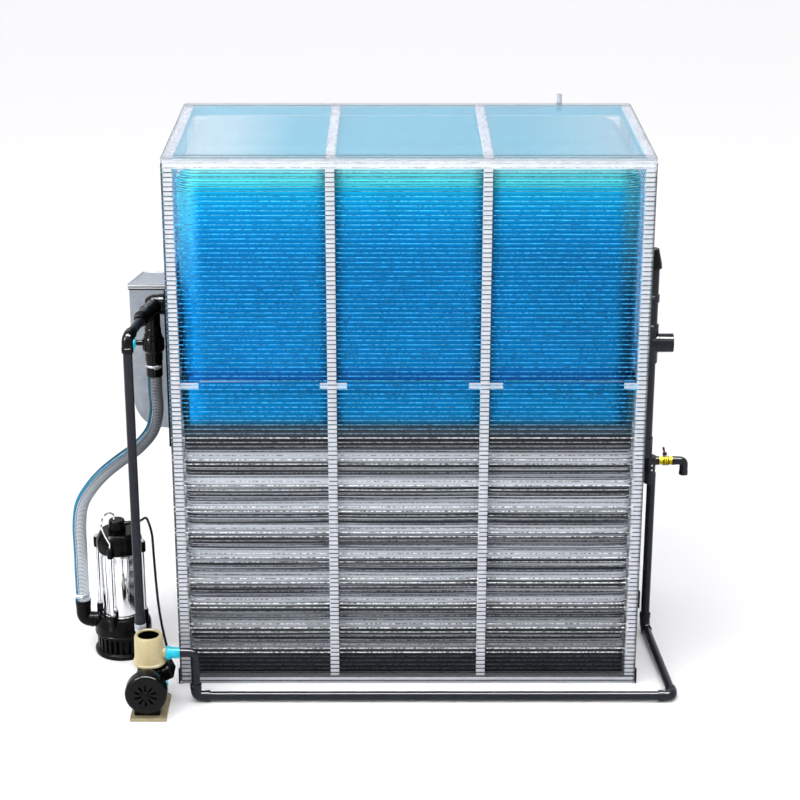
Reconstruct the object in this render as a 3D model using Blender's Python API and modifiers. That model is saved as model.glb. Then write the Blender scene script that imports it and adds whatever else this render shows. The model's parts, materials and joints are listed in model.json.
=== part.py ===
"""Household biogas digester: a clear fluted housing on a white tube frame, with a gas bag over a
membrane tank, a feed hopper and two pumps on its left, and an overflow and a tap on its right.

Metres, +Z up. The origin is the middle of the housing's base. +X is the long side, and the front
of the housing faces -Y.
"""

import math

import bmesh
import bpy
from mathutils import Matrix, Vector

# Housing
WIDTH = 1.620
DEPTH = 0.850
HEIGHT = 1.915
SHEET = 0.006  # twin-wall sheet
TUBE = 0.030  # square frame tube
GAP = 0.0003  # between pieces that touch
MID_POST_X = 0.16 * WIDTH  # middle of an inner post
LIFT = 0.003  # wall sheets stop this far above the ground

# Frame faces, worked out from the housing
FRAME_X = WIDTH / 2 - SHEET - GAP
FRAME_Y = DEPTH / 2 - SHEET - GAP
INNER_X = FRAME_X - TUBE
INNER_Y = FRAME_Y - TUBE
FRAME_TOP = HEIGHT - SHEET - GAP
POST_TOP = FRAME_TOP - TUBE - GAP
POST_FOOT = TUBE + GAP

# Tray, tank, gas bag and skirt
TRAY_FLOOR = 0.010
SKIRT = 0.003
TANK_X = INNER_X - SKIRT - 2 * GAP
TANK_Y = INNER_Y - SKIRT - 2 * GAP
TANK_TOP = 1.140
BAG_TOP = 1.874
BAG_CORNER = 0.065
SKIRT_LOW = 0.990
SKIRT_END = 0.064  # a skirt stops this far from the housing's corner
RAIL = 0.021  # square pole in the skirt's sleeve
RAIL_Z = 1.1265
SLEEVE = 0.0035  # thickness of the sleeve around its pole
# Length of bare pole to the left and right of each front bay's sleeve
BARE_POLE = ((0.063, 0.026), (0.036, 0.039), (0.046, 0.043))

# Left side: board, hopper and inlet
WALL_X = -WIDTH / 2 - GAP
BOARD = 0.008
BOARD_FACE = WALL_X - BOARD - GAP
BOARD_Y = (-0.400, 0.200)
BOARD_Z = (0.900, 1.455)
HOPPER_REACH = 0.985  # distance of the hopper's outer edge from the middle
HOPPER_Y = (-0.015, 0.135)
HOPPER_TOP = 1.343
HOPPER_LOW = 0.822
HOPPER_TAPER = 0.79  # the back is this much narrower than the front
LID_TOP = 1.365
INLET = Vector((-0.883, -0.200, 1.334))  # where the inlet's branch leaves its barrel
INLET_R = 0.0290
SOCKET_R = 0.0365
REDUCER = Vector((-0.904, -0.310, 1.334))
PIPE_R = 0.016
ELBOW_R = 0.0205
RISER = Vector((-0.937, -0.475, 0.0))
RISER_TOP = 1.316
RISER_FOOT = 0.286
VALVE_TOP = 1.240
HANDLE_X = -0.952
HANDLE_Z = 1.208

# Feed hose and the submersible pump
HOSE_R = 0.025
HOSE_TOP = 1.088
PUMP = Vector((-1.043, -0.147, 0.0))
PUMP_ELBOW_X = -1.186
HOSE_END = 0.200
OUTLET_Z = 0.120
SHELL_R = 0.073
SHELL_Z = (0.150, 0.402)
CAP_TOP = 0.478
ROD_R = 0.0055
ROD_REACH = 0.088
ROD_ANGLES = (-105, -15, 75, 165)
CABLE_R = 0.0045
GLAND_START = PUMP + Vector((0.000, 0.000, 0.498))  # the cable's gland on the cap
GLAND_END = PUMP + Vector((0.046, -0.010, 0.511))

# Booster pump
BOOSTER_X = -0.900
BOOSTER_AXIS_Z = 0.100
PLATE_X = (-0.958, -0.832)
PLATE_Y = (-0.702, -0.507)
PLATE_TOP = 0.012
FAN_R = 0.073
FAN_FACE = -0.700
PIPE_Y = -0.553  # the supply pipe runs along the front in this plane
POT_FOOT = 0.152
POT_TOP = 0.262
POT_R = 0.050
POT_BORE_R = 0.037
POT_BORE_FLOOR = 0.185
PORT_Z = 0.190
BOSS_X = -0.841  # face of the pot's port
UNION_END = -0.793
TERMINAL = Vector((-0.842, -0.553, 0.124))  # middle of the terminal box

# Supply pipe, standpipe and tap on the right
LEG_X = -0.742
CORNER_X = 0.930
RIGHT_X = 0.893
TEE_TOP = 0.705
STAND_X = 0.864
STAND_R = 0.025
STAND_TOP = 1.420
CAP_HEIGHT = 0.070
OVERFLOW_Z = 1.140
OVERFLOW_R = 0.035
OVERFLOW_END = 0.948
TAP_Z = 0.687
VALVE_X = (0.918, 0.966)
SPOUT_X = 1.009
SPOUT_LOW = 0.634
BORE_R = 0.0125

# Gas outlet behind the back sheet
GAS_X = 0.553
GAS_Y = DEPTH / 2 + 0.012
GAS_R = 0.010
GAS_LOW = 1.800
GAS_TOP = 1.945

WHITE = (0.86, 0.87, 0.88)
CLEAR = (0.75, 0.85, 0.90)
BLUE = (0.02, 0.30, 0.62)
CHARCOAL = (0.05, 0.05, 0.06)
BLACK = (0.012, 0.012, 0.014)
GREY = (0.38, 0.41, 0.45)
PIPE_GREY = (0.045, 0.048, 0.055)
BEIGE = (0.66, 0.58, 0.38)
TEAL = (0.03, 0.55, 0.60)
STEEL = (0.62, 0.63, 0.65)
BRASS = (0.75, 0.60, 0.10)

# Turns that carry +Z onto each axis
AXIS_TURN = {"X": (0, math.radians(90), 0), "Y": (math.radians(-90), 0, 0), "Z": (0, 0, 0)}

for old in list(bpy.data.objects):
    bpy.data.objects.remove(old, do_unlink=True)

parts = bpy.data.collections.new("biogas_digester")
cutters = bpy.data.collections.new("cutters")
for collection in (parts, cutters):
    bpy.context.scene.collection.children.link(collection)
cutters.hide_render = True


def material(name, colour, roughness, metallic=0.0):
    """A plain surface with one colour."""
    made = bpy.data.materials.new(name)
    made.use_nodes = True
    shader = made.node_tree.nodes["Principled BSDF"]
    shader.inputs["Base Color"].default_value = (*colour, 1)
    shader.inputs["Roughness"].default_value = roughness
    shader.inputs["Metallic"].default_value = metallic
    return made


def add(name, mesh, colour, roughness=0.5, metallic=0.0, location=(0, 0, 0), smooth=False):
    """Link a mesh or a curve to the part as one named piece."""
    piece = bpy.data.objects.new(name, mesh)
    piece.location = location
    mesh.materials.append(material(name, colour, roughness, metallic))
    parts.objects.link(piece)
    if smooth:
        mesh.shade_smooth()
        mesh.set_sharp_from_angle(angle=math.radians(35))
    return piece


def box_mesh(name, low, high):
    """A box between two corners, given about the object's own origin."""
    mesh = bpy.data.meshes.new(name)
    shape = bmesh.new()
    bmesh.ops.create_cube(shape, size=1.0)
    size = Vector(high) - Vector(low)
    middle = (Vector(high) + Vector(low)) / 2
    bmesh.ops.scale(shape, vec=size, verts=shape.verts)
    bmesh.ops.translate(shape, vec=middle, verts=shape.verts)
    shape.to_mesh(mesh)
    shape.free()
    return mesh


def box(name, low, high, colour, roughness=0.5, metallic=0.0):
    """A box between two corners, placed by its middle."""
    middle = (Vector(high) + Vector(low)) / 2
    mesh = box_mesh(name, Vector(low) - middle, Vector(high) - middle)
    return add(name, mesh, colour, roughness, metallic, middle)


def helper(name, mesh):
    """A shape that is cut from or joined to a piece, and is no piece itself."""
    made = bpy.data.objects.new(name, mesh)
    made.display_type = "WIRE"
    made.hide_render = True
    cutters.objects.link(made)
    return made


def combine(piece, others, operation):
    """Cut each other shape from a piece, or join it to the piece."""
    for other in others:
        boolean = piece.modifiers.new(operation.lower() + "_" + other.name, "BOOLEAN")
        boolean.operation = operation
        boolean.solver = "EXACT"
        boolean.object = other


def rod_mesh(name, start, end, radius, sides=24, end_radius=None):
    """A straight round bar, or a cone, between two points."""
    start = Vector(start)
    end = Vector(end)
    along = end - start
    mesh = bpy.data.meshes.new(name)
    shape = bmesh.new()
    last = radius if end_radius is None else end_radius
    bmesh.ops.create_cone(
        shape, cap_ends=True, segments=sides, radius1=radius, radius2=last, depth=along.length
    )
    turn = along.to_track_quat("Z", "Y").to_matrix().to_4x4()
    bmesh.ops.transform(
        shape, matrix=Matrix.Translation((start + end) / 2) @ turn, verts=shape.verts
    )
    shape.to_mesh(mesh)
    shape.free()
    return mesh


def turned(name, rings, centre, axis="Z", sides=32, look=None):
    """A turned solid from (place along the axis, radius) pairs, lowest first. No look: a helper."""
    profile = [(rings[-1][0], 0.0), *reversed(rings), (rings[0][0], 0.0)]
    mesh = bpy.data.meshes.new(name)
    shape = bmesh.new()
    points = [shape.verts.new((radius, 0, place)) for place, radius in profile]
    for above, below in zip(points, points[1:]):
        shape.edges.new((above, below))
    shape.to_mesh(mesh)
    shape.free()
    piece = add(name, mesh, *look) if look else helper(name, mesh)
    piece.location = centre
    piece.rotation_euler = AXIS_TURN[axis]
    screw = piece.modifiers.new("turn", "SCREW")
    screw.steps = sides
    screw.render_steps = sides
    screw.use_merge_vertices = True
    screw.merge_threshold = 0.00001
    screw.use_smooth_shade = True
    return piece


def path_curve(name, points, radius, resolution=3):
    """A tube along straight stretches between points."""
    curve = bpy.data.curves.new(name, "CURVE")
    curve.dimensions = "3D"
    curve.bevel_depth = radius
    curve.bevel_resolution = resolution
    curve.use_fill_caps = True
    spline = curve.splines.new("POLY")
    spline.points.add(len(points) - 1)
    for place, point in zip(spline.points, points):
        place.co = (*point, 1)
    return curve


def bend(points, radius, steps=5):
    """The points of a path with each inner corner rounded to a radius."""
    points = [Vector(point) for point in points]
    rounded = [points[0]]
    for before, corner, after in zip(points, points[1:], points[2:]):
        back = (before - corner).normalized()
        ahead = (after - corner).normalized()
        reach = radius / math.tan(back.angle(ahead) / 2)
        start = corner + back * reach
        end = corner + ahead * reach
        for step in range(steps + 1):
            part = step / steps
            rounded.append(
                start * (1 - part) ** 2 + corner * 2 * part * (1 - part) + end * part**2
            )
    rounded.append(points[-1])
    return rounded


def tube_mesh(name, points, radius, resolution=3):
    """The closed mesh of a tube, with its end caps welded."""
    curve = path_curve(name, points, radius, resolution)
    guide = bpy.data.objects.new(name + "_guide", curve)
    cutters.objects.link(guide)
    bpy.context.view_layer.update()
    graph = bpy.context.evaluated_depsgraph_get()
    mesh = bpy.data.meshes.new_from_object(guide.evaluated_get(graph))
    bpy.data.objects.remove(guide, do_unlink=True)
    shape = bmesh.new()
    shape.from_mesh(mesh)
    bmesh.ops.remove_doubles(shape, verts=shape.verts, dist=1e-5)
    bmesh.ops.recalc_face_normals(shape, faces=shape.faces)
    shape.to_mesh(mesh)
    shape.free()
    return mesh


def smooth_route(points, spacing):
    """Points at an even spacing along a smooth curve through the given ones."""
    points = [Vector(point) for point in points]
    ends = [2 * points[0] - points[1], *points, 2 * points[-1] - points[-2]]
    fine = []
    for a, b, c, d in zip(ends, ends[1:], ends[2:], ends[3:]):
        for step in range(20):
            t = step / 20
            fine.append(
                0.5
                * (
                    2 * b
                    + (c - a) * t
                    + (2 * a - 5 * b + 4 * c - d) * t**2
                    + (3 * b - a - 3 * c + d) * t**3
                )
            )
    fine.append(points[-1])
    total = sum((q - p).length for p, q in zip(fine, fine[1:]))
    count = max(2, round(total / spacing))
    wanted = [total * step / count for step in range(1, count)]
    route = [fine[0]]
    walked = 0.0
    for p, q in zip(fine, fine[1:]):
        length = (q - p).length
        while wanted and walked + length >= wanted[0]:
            route.append(p.lerp(q, (wanted.pop(0) - walked) / length))
        walked += length
    route.append(fine[-1])
    return route


def make_tray():
    """The white tray: a thin floor with a rim of frame tube."""
    tray = box("base_tray", (-FRAME_X, -FRAME_Y, 0), (FRAME_X, FRAME_Y, TUBE), WHITE)
    hollow = box_mesh(
        "tray_hollow", (-INNER_X, -INNER_Y, TRAY_FLOOR), (INNER_X, INNER_Y, 2 * TUBE)
    )
    hollow = helper("tray_hollow", hollow)
    hollow.parent = tray
    hollow.matrix_parent_inverse = Matrix.Translation(-tray.location)
    combine(tray, [hollow], "DIFFERENCE")


def make_posts():
    """Four corner posts and four inner posts. The poles pass through the inner ones."""
    places = {"left": -1, "mid_left": -1, "mid_right": 1, "right": 1}
    for side, sign in (("front", -1), ("back", 1)):
        y = sign * (FRAME_Y - TUBE / 2)
        for where, hand in places.items():
            inner = where.startswith("mid")
            x = hand * (MID_POST_X if inner else FRAME_X - TUBE / 2)
            name = f"post_{side}_{where}"
            half = TUBE / 2
            low = (x - half, y - half, POST_FOOT)
            post = box(name, low, (x + half, y + half, POST_TOP), WHITE)
            if inner:
                hole = RAIL / 2 + GAP
                cut = box_mesh(name + "_hole", (x - TUBE, y - hole, RAIL_Z - hole),
                               (x + TUBE, y + hole, RAIL_Z + hole))
                combine(post, [helper(name + "_hole", cut)], "DIFFERENCE")


def make_roof_frame():
    """The ring on the posts, and two bars across it over the inner posts."""
    low = POST_TOP + GAP
    for side, sign in (("front", -1), ("back", 1)):
        near, far = sorted((sign * FRAME_Y, sign * INNER_Y))
        box("top_rail_" + side, (-FRAME_X, near, low), (FRAME_X, far, FRAME_TOP), WHITE)
    end = INNER_Y - GAP
    for side, sign in (("left", -1), ("right", 1)):
        near, far = sorted((sign * FRAME_X, sign * INNER_X))
        box("top_rail_" + side, (near, -end, low), (far, end, FRAME_TOP), WHITE)
        x = sign * MID_POST_X
        box("roof_bar_" + side, (x - TUBE / 2, -end, low), (x + TUBE / 2, end, FRAME_TOP), WHITE)


def make_poles():
    """The poles that hold the skirt: through the inner posts, and from corner to corner."""
    half = RAIL / 2
    for side, sign in (("front", -1), ("back", 1)):
        y = sign * (FRAME_Y - TUBE / 2)
        end = INNER_X - GAP
        box("mid_rail_" + side, (-end, y - half, RAIL_Z - half), (end, y + half, RAIL_Z + half), WHITE)
    for side, sign in (("left", -1), ("right", 1)):
        x = sign * (FRAME_X - TUBE / 2)
        end = INNER_Y - GAP
        box("mid_rail_" + side, (x - half, -end, RAIL_Z - half), (x + half, end, RAIL_Z + half), WHITE)


def make_sheets():
    """Clear sheets on all four sides and over the roof."""
    top = HEIGHT - SHEET - GAP
    x = WIDTH / 2
    y = DEPTH / 2
    box("sheet_front", (-x, -y, LIFT), (x, -y + SHEET, top), CLEAR, 0.15)
    box("sheet_back", (-x, y - SHEET, LIFT), (x, y, top), CLEAR, 0.15)
    side = y - SHEET - GAP
    box("sheet_left", (-x, -side, LIFT), (-x + SHEET, side, top), CLEAR, 0.15)
    box("sheet_right", (x - SHEET, -side, LIFT), (x, side, top), CLEAR, 0.15)
    box("sheet_roof", (-x, -y, HEIGHT - SHEET), (x, y, HEIGHT), CLEAR, 0.15)


def bevelled(piece, width, segments, vertical):
    """Round a box's upright edges, or all of its edges."""
    bevel = piece.modifiers.new("round", "BEVEL")
    bevel.width = width
    bevel.segments = segments
    bevel.limit_method = "WEIGHT" if vertical else "ANGLE"
    if not vertical:
        return
    mesh = piece.data
    weights = mesh.attributes.new("bevel_weight_edge", "FLOAT", "EDGE")
    for edge in mesh.edges:
        a, b = (mesh.vertices[index].co for index in edge.vertices)
        weights.data[edge.index].value = 1.0 if abs(a.z - b.z) > 0.1 else 0.0


def make_membranes():
    """The membrane tank, and the gas bag that rests on it."""
    low = TRAY_FLOOR + GAP
    tank = box("digester_tank", (-TANK_X, -TANK_Y, low), (TANK_X, TANK_Y, TANK_TOP), CHARCOAL, 0.4)
    bevelled(tank, 0.012, 2, vertical=True)
    bag = box("gas_holder", (-TANK_X, -TANK_Y, TANK_TOP + GAP), (TANK_X, TANK_Y, BAG_TOP), BLUE, 0.4)
    bevelled(bag, BAG_CORNER, 4, vertical=True)


def make_skirt(name, length, bays, flat_y, turn):
    """A hanging skirt with a sleeve around the pole in each bay, turned to its side."""
    end = length / 2 - SKIRT_END
    top = RAIL_Z + RAIL / 2 + SLEEVE
    half = RAIL / 2 + SLEEVE
    hole = RAIL / 2 + GAP
    pole_y = -(flat_y + TUBE / 2)
    skirt = box_mesh(name, (-end, -flat_y + GAP, SKIRT_LOW), (end, -flat_y + GAP + SKIRT, top))
    piece = add(name, skirt, BLUE, 0.4)
    shapes = []
    holes = []
    for index, (left, right) in enumerate(bays):
        sleeve = box_mesh(
            f"{name}_sleeve_{index}",
            (left, pole_y - half, RAIL_Z - half),
            (right, -flat_y + GAP + SKIRT / 2, RAIL_Z + half),
        )
        shapes.append(helper(f"{name}_sleeve_{index}", sleeve))
        bore = box_mesh(
            f"{name}_bore_{index}",
            (left - 0.01, pole_y - hole, RAIL_Z - hole),
            (right + 0.01, pole_y + hole, RAIL_Z + hole),
        )
        holes.append(helper(f"{name}_bore_{index}", bore))
    combine(piece, shapes, "UNION")
    combine(piece, holes, "DIFFERENCE")
    for thing in (piece, *shapes, *holes):
        thing.rotation_euler.z = math.radians(turn)


def make_skirts():
    """One skirt a side."""
    edges = (-INNER_X, -MID_POST_X, MID_POST_X, INNER_X)
    bays = []
    for index, (left, right) in enumerate(BARE_POLE):
        start = edges[index] + left + (TUBE / 2 if index else 0)
        stop = edges[index + 1] - right - (TUBE / 2 if index < 2 else 0)
        bays.append((start, stop))
    make_skirt("skirt_front", WIDTH, bays, INNER_Y, 0)
    make_skirt("skirt_back", WIDTH, bays, INNER_Y, 180)
    bare = sum(BARE_POLE[0]) / 2
    side = [(-INNER_Y + bare, INNER_Y - bare)]
    make_skirt("skirt_left", DEPTH, side, INNER_X, -90)
    make_skirt("skirt_right", DEPTH, side, INNER_X, 90)


def make_hopper():
    """The board on the left wall, with the feed hopper and its lid."""
    box("mounting_board", (WALL_X - BOARD, BOARD_Y[0], BOARD_Z[0]), (WALL_X, BOARD_Y[1], BOARD_Z[1]),
        BLACK)
    reach = HOPPER_REACH + BOARD_FACE
    corner = 0.095
    outline = [(0, HOPPER_TOP), (-reach, HOPPER_TOP), (-reach, HOPPER_LOW + 1.25 * corner)]
    for step in range(1, 9):
        angle = math.radians(90) * step / 8
        outline.append(
            (-reach + corner * (1 - math.cos(angle)), HOPPER_LOW + 1.25 * corner * (1 - math.sin(angle)))
        )
    outline.append((0, HOPPER_LOW - 0.006))
    thickness = HOPPER_Y[1] - HOPPER_Y[0]
    curve = bpy.data.curves.new("hopper_outline", "CURVE")
    curve.dimensions = "2D"
    curve.fill_mode = "BOTH"
    curve.extrude = thickness / 2
    spline = curve.splines.new("POLY")
    spline.use_cyclic_u = True
    spline.points.add(len(outline) - 1)
    for place, (x, z) in zip(spline.points, outline):
        place.co = (x, z, 0, 1)
    guide = bpy.data.objects.new("hopper_guide", curve)
    cutters.objects.link(guide)
    bpy.context.view_layer.update()
    graph = bpy.context.evaluated_depsgraph_get()
    mesh = bpy.data.meshes.new_from_object(guide.evaluated_get(graph))
    bpy.data.objects.remove(guide, do_unlink=True)
    shape = bmesh.new()
    shape.from_mesh(mesh)
    bmesh.ops.remove_doubles(shape, verts=shape.verts, dist=1e-5)
    bmesh.ops.rotate(shape, matrix=Matrix.Rotation(math.radians(90), 3, "X"), verts=shape.verts)
    for vert in shape.verts:
        if vert.co.y > 0:
            vert.co.x *= HOPPER_TAPER
    bmesh.ops.recalc_face_normals(shape, faces=shape.faces)
    shape.to_mesh(mesh)
    shape.free()
    middle = sum(HOPPER_Y) / 2
    add("feed_hopper", mesh, GREY, 0.35, 0.3, (BOARD_FACE, middle, 0))
    lid = box_mesh("hopper_lid", (-reach - 0.004, -thickness / 2 - 0.004, HOPPER_TOP + GAP),
                   (0, thickness / 2, LID_TOP))
    for vert in lid.vertices:
        if vert.co.y > 0:
            vert.co.x *= HOPPER_TAPER
    add("hopper_lid", lid, GREY, 0.35, 0.3, (BOARD_FACE, middle, 0))


def make_inlet():
    """The inlet's elbow and branch, the riser that feeds it, and the valve below."""
    barrel = Vector((INLET.x + 0.008, INLET.y + 0.045, INLET.z))
    tee = add("inlet_tee", rod_mesh("inlet_tee", (BOARD_FACE, barrel.y, INLET.z), barrel, SOCKET_R, 32),
              BLACK, 0.35, 0, smooth=True)
    top = Vector((RISER.x, RISER.y, RISER_TOP))
    ahead = (top - REDUCER).normalized()
    shapes = [
        rod_mesh("tee_barrel", barrel, REDUCER + ahead * 0.006, INLET_R, 32),
        rod_mesh("tee_round", barrel - Vector((0.006, 0, 0)), barrel - Vector((0.0365, 0, 0)), SOCKET_R,
                 32, 0.018),
        rod_mesh("tee_branch", INLET, (INLET.x, INLET.y, VALVE_TOP), INLET_R, 32),
        rod_mesh("tee_reducer", REDUCER, REDUCER + ahead * 0.030, 0.0255, 32, ELBOW_R),
    ]
    combine(tee, [helper(shape.name, shape) for shape in shapes], "UNION")
    start = REDUCER + ahead * (0.030 + GAP)
    foot = Vector((RISER.x, RISER.y, RISER_FOOT))
    pipe = tube_mesh("feed_riser", bend([start, top, foot], 0.024), PIPE_R, 4)
    riser = add("feed_riser", pipe, PIPE_GREY, 0.4, 0, smooth=True)
    along = (start - top).normalized()
    elbow = bend([top + along * 0.046, top, top - Vector((0, 0, 0.050))], 0.026)
    rings = [(0.150, 0.017), (0.235, 0.017), (0.240, 0.020), (0.290, 0.020), (0.296, 0.0185), (0.300, 0.0185)]
    fitting = turned("riser_fitting", rings, (RISER.x, RISER.y, 0), "Z", 24)
    elbow = helper("riser_elbow", tube_mesh("riser_elbow", elbow, ELBOW_R, 4))
    combine(riser, [elbow, fitting], "UNION")
    body = [(HOSE_TOP, 0.0285), (1.118, 0.0285), (1.119, 0.030), (1.131, 0.030), (1.132, 0.0285),
            (1.140, 0.0285), (1.146, 0.031), (1.176, 0.031), (1.184, 0.0375), (1.224, 0.0375),
            (1.232, 0.032), (VALVE_TOP - GAP, 0.032)]
    valve = turned("inlet_valve", body, (INLET.x, INLET.y, 0), look=(BLACK, 0.3))
    stem = rod_mesh("valve_stem", (INLET.x - 0.030, INLET.y, HANDLE_Z), (HANDLE_X + 0.0095, INLET.y, HANDLE_Z),
                    0.010, 16)
    combine(valve, [helper("valve_stem", stem)], "UNION")
    handle = rod_mesh("inlet_valve_handle", (HANDLE_X - INLET.x - 0.012 + INLET.x - HANDLE_X, 0, 0),
                      (0.009, 0, 0), 0.013, 20)
    piece = add("inlet_valve_handle", handle, TEAL, 0.35, 0, (HANDLE_X, INLET.y, HANDLE_Z), True)
    bar = helper("handle_bar", box_mesh("handle_bar", (-0.014, -0.007, -0.022), (-0.001, 0.007, 0.022)))
    bar.location = piece.location
    combine(piece, [bar], "UNION")


def make_hose():
    """The spiral feed hose, from the valve's cuff down to the pump's elbow."""
    route = [
        (INLET.x, INLET.y, HOSE_TOP - GAP), (INLET.x, INLET.y, 1.060), (INLET.x, INLET.y, 1.025),
        (-0.882, -0.200, 0.955),
        (-0.902, -0.198, 0.880), (-0.955, -0.194, 0.815), (-1.015, -0.189, 0.768),
        (-1.080, -0.182, 0.712), (-1.132, -0.175, 0.650), (-1.168, -0.168, 0.585),
        (-1.182, -0.160, 0.500), (-1.184, -0.153, 0.400), (-1.186, -0.148, 0.300),
        (PUMP_ELBOW_X, PUMP.y, 0.260), (PUMP_ELBOW_X, PUMP.y, 0.230),
        (PUMP_ELBOW_X, PUMP.y, HOSE_END + GAP),
    ]
    hose = path_curve("feed_hose", smooth_route(route, 2.2 * HOSE_R), HOSE_R, 4)
    add("feed_hose", hose, (0.6, 0.66, 0.7), 0.3)


def make_submersible():
    """The submersible pump: strainer and volute, steel shell, and a cap with four tie rods."""
    rings = [(0, 0.104), (0.008, 0.106), (0.016, 0.104), (0.020, 0.098), (0.074, 0.092), (0.078, 0.102),
             (0.110, 0.103), (0.125, 0.098), (SHELL_Z[0] - GAP, 0.086)]
    base = turned("submersible_base", rings, PUMP, look=(BLACK, 0.4))
    elbow = bend([PUMP + Vector((-0.06, 0, OUTLET_Z)), Vector((PUMP_ELBOW_X, PUMP.y, OUTLET_Z)),
                  Vector((PUMP_ELBOW_X, PUMP.y, HOSE_END))], 0.030)
    shapes = [helper("outlet_elbow", tube_mesh("outlet_elbow", elbow, 0.0285, 4))]
    for angle in ROD_ANGLES:
        place = PUMP + Vector((ROD_REACH * math.cos(math.radians(angle)),
                               ROD_REACH * math.sin(math.radians(angle)), 0))
        lug = rod_mesh(f"base_lug_{angle}", place + Vector((0, 0, 0.120)), place + Vector((0, 0, 0.172)),
                       0.012, 16)
        shapes.append(helper(lug.name, lug))
    combine(base, shapes, "UNION")
    rings = [(SHELL_Z[0], SHELL_R), (SHELL_Z[1], SHELL_R)]
    turned("submersible_shell", rings, PUMP, "Z", 40, (STEEL, 0.12, 1.0))
    foot = SHELL_Z[1] + GAP
    rings = [(foot, 0.079), (foot + 0.012, 0.082), (foot + 0.045, 0.082), (foot + 0.060, 0.076),
             (CAP_TOP, 0.066)]
    cap = turned("submersible_cap", rings, PUMP, look=(BLACK, 0.4))
    shapes = [helper("cap_block", rod_mesh("cap_block", PUMP + Vector((-0.006, 0, CAP_TOP - 0.01)),
                                           PUMP + Vector((-0.006, 0, CAP_TOP + 0.040)), 0.032, 24, 0.028))]
    gland = rod_mesh("cap_gland", GLAND_START, GLAND_END, 0.010, 16, 0.007)
    shapes.append(helper("cap_gland", gland))
    for angle in ROD_ANGLES:
        place = PUMP + Vector((ROD_REACH * math.cos(math.radians(angle)),
                               ROD_REACH * math.sin(math.radians(angle)), 0))
        lug = rod_mesh(f"cap_lug_{angle}", place + Vector((0, 0, foot)), place + Vector((0, 0, foot + 0.038)),
                       0.012, 16)
        rod = rod_mesh(f"tie_rod_{angle}", place + Vector((0, 0, 0.172 + GAP)),
                       place + Vector((0, 0, foot + 0.01)), ROD_R, 12)
        shapes += [helper(lug.name, lug), helper(rod.name, rod)]
    combine(cap, shapes, "UNION")
    angle = math.radians(ROD_ANGLES[0])
    ear = (ROD_REACH * math.cos(angle), ROD_REACH * math.sin(angle))
    top = CAP_TOP + 0.040 + GAP
    loop = [(*ear, foot + 0.038 + GAP), (*ear, 0.448), (*ear, 0.458), (-0.040, -0.082, 0.492),
            (-0.052, -0.070, 0.525), (-0.046, -0.052, 0.550), (-0.030, -0.030, 0.556), (-0.017, -0.014, 0.545),
            (-0.014, -0.010, 0.533), (-0.014, -0.010, 0.526), (-0.014, -0.010, top)]
    wire = smooth_route([PUMP + Vector(point) for point in loop], 0.012)
    bail = path_curve("lifting_bail", wire, 0.0032, 2)
    add("lifting_bail", bail, STEEL, 0.15, 1.0)


def make_cable():
    """The submersible pump's cable, from its cap to the booster's terminal box."""
    ahead = (GLAND_END - GLAND_START).normalized()
    route = [
        GLAND_END + ahead * GAP, GLAND_END + ahead * 0.013, GLAND_END + ahead * 0.026,
        GLAND_END + ahead * 0.040, (-0.938, -0.196, 0.545),
        (-0.925, -0.225, 0.542), (-0.911, -0.250, 0.505), (-0.905, -0.275, 0.450), (-0.896, -0.315, 0.360),
        (-0.885, -0.362, 0.290), (-0.873, -0.398, 0.235), (-0.860, -0.422, 0.180),
        (-0.850, -0.436, 0.145), TERMINAL + Vector((0, 0.100, 0.001)), TERMINAL + Vector((0, 0.083, 0)),
        TERMINAL + Vector((0, 0.065 + GAP, 0)),
    ]
    cable = path_curve("pump_cable", smooth_route(route, 0.024), CABLE_R, 2)
    add("pump_cable", cable, BLACK, 0.5)


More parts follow.
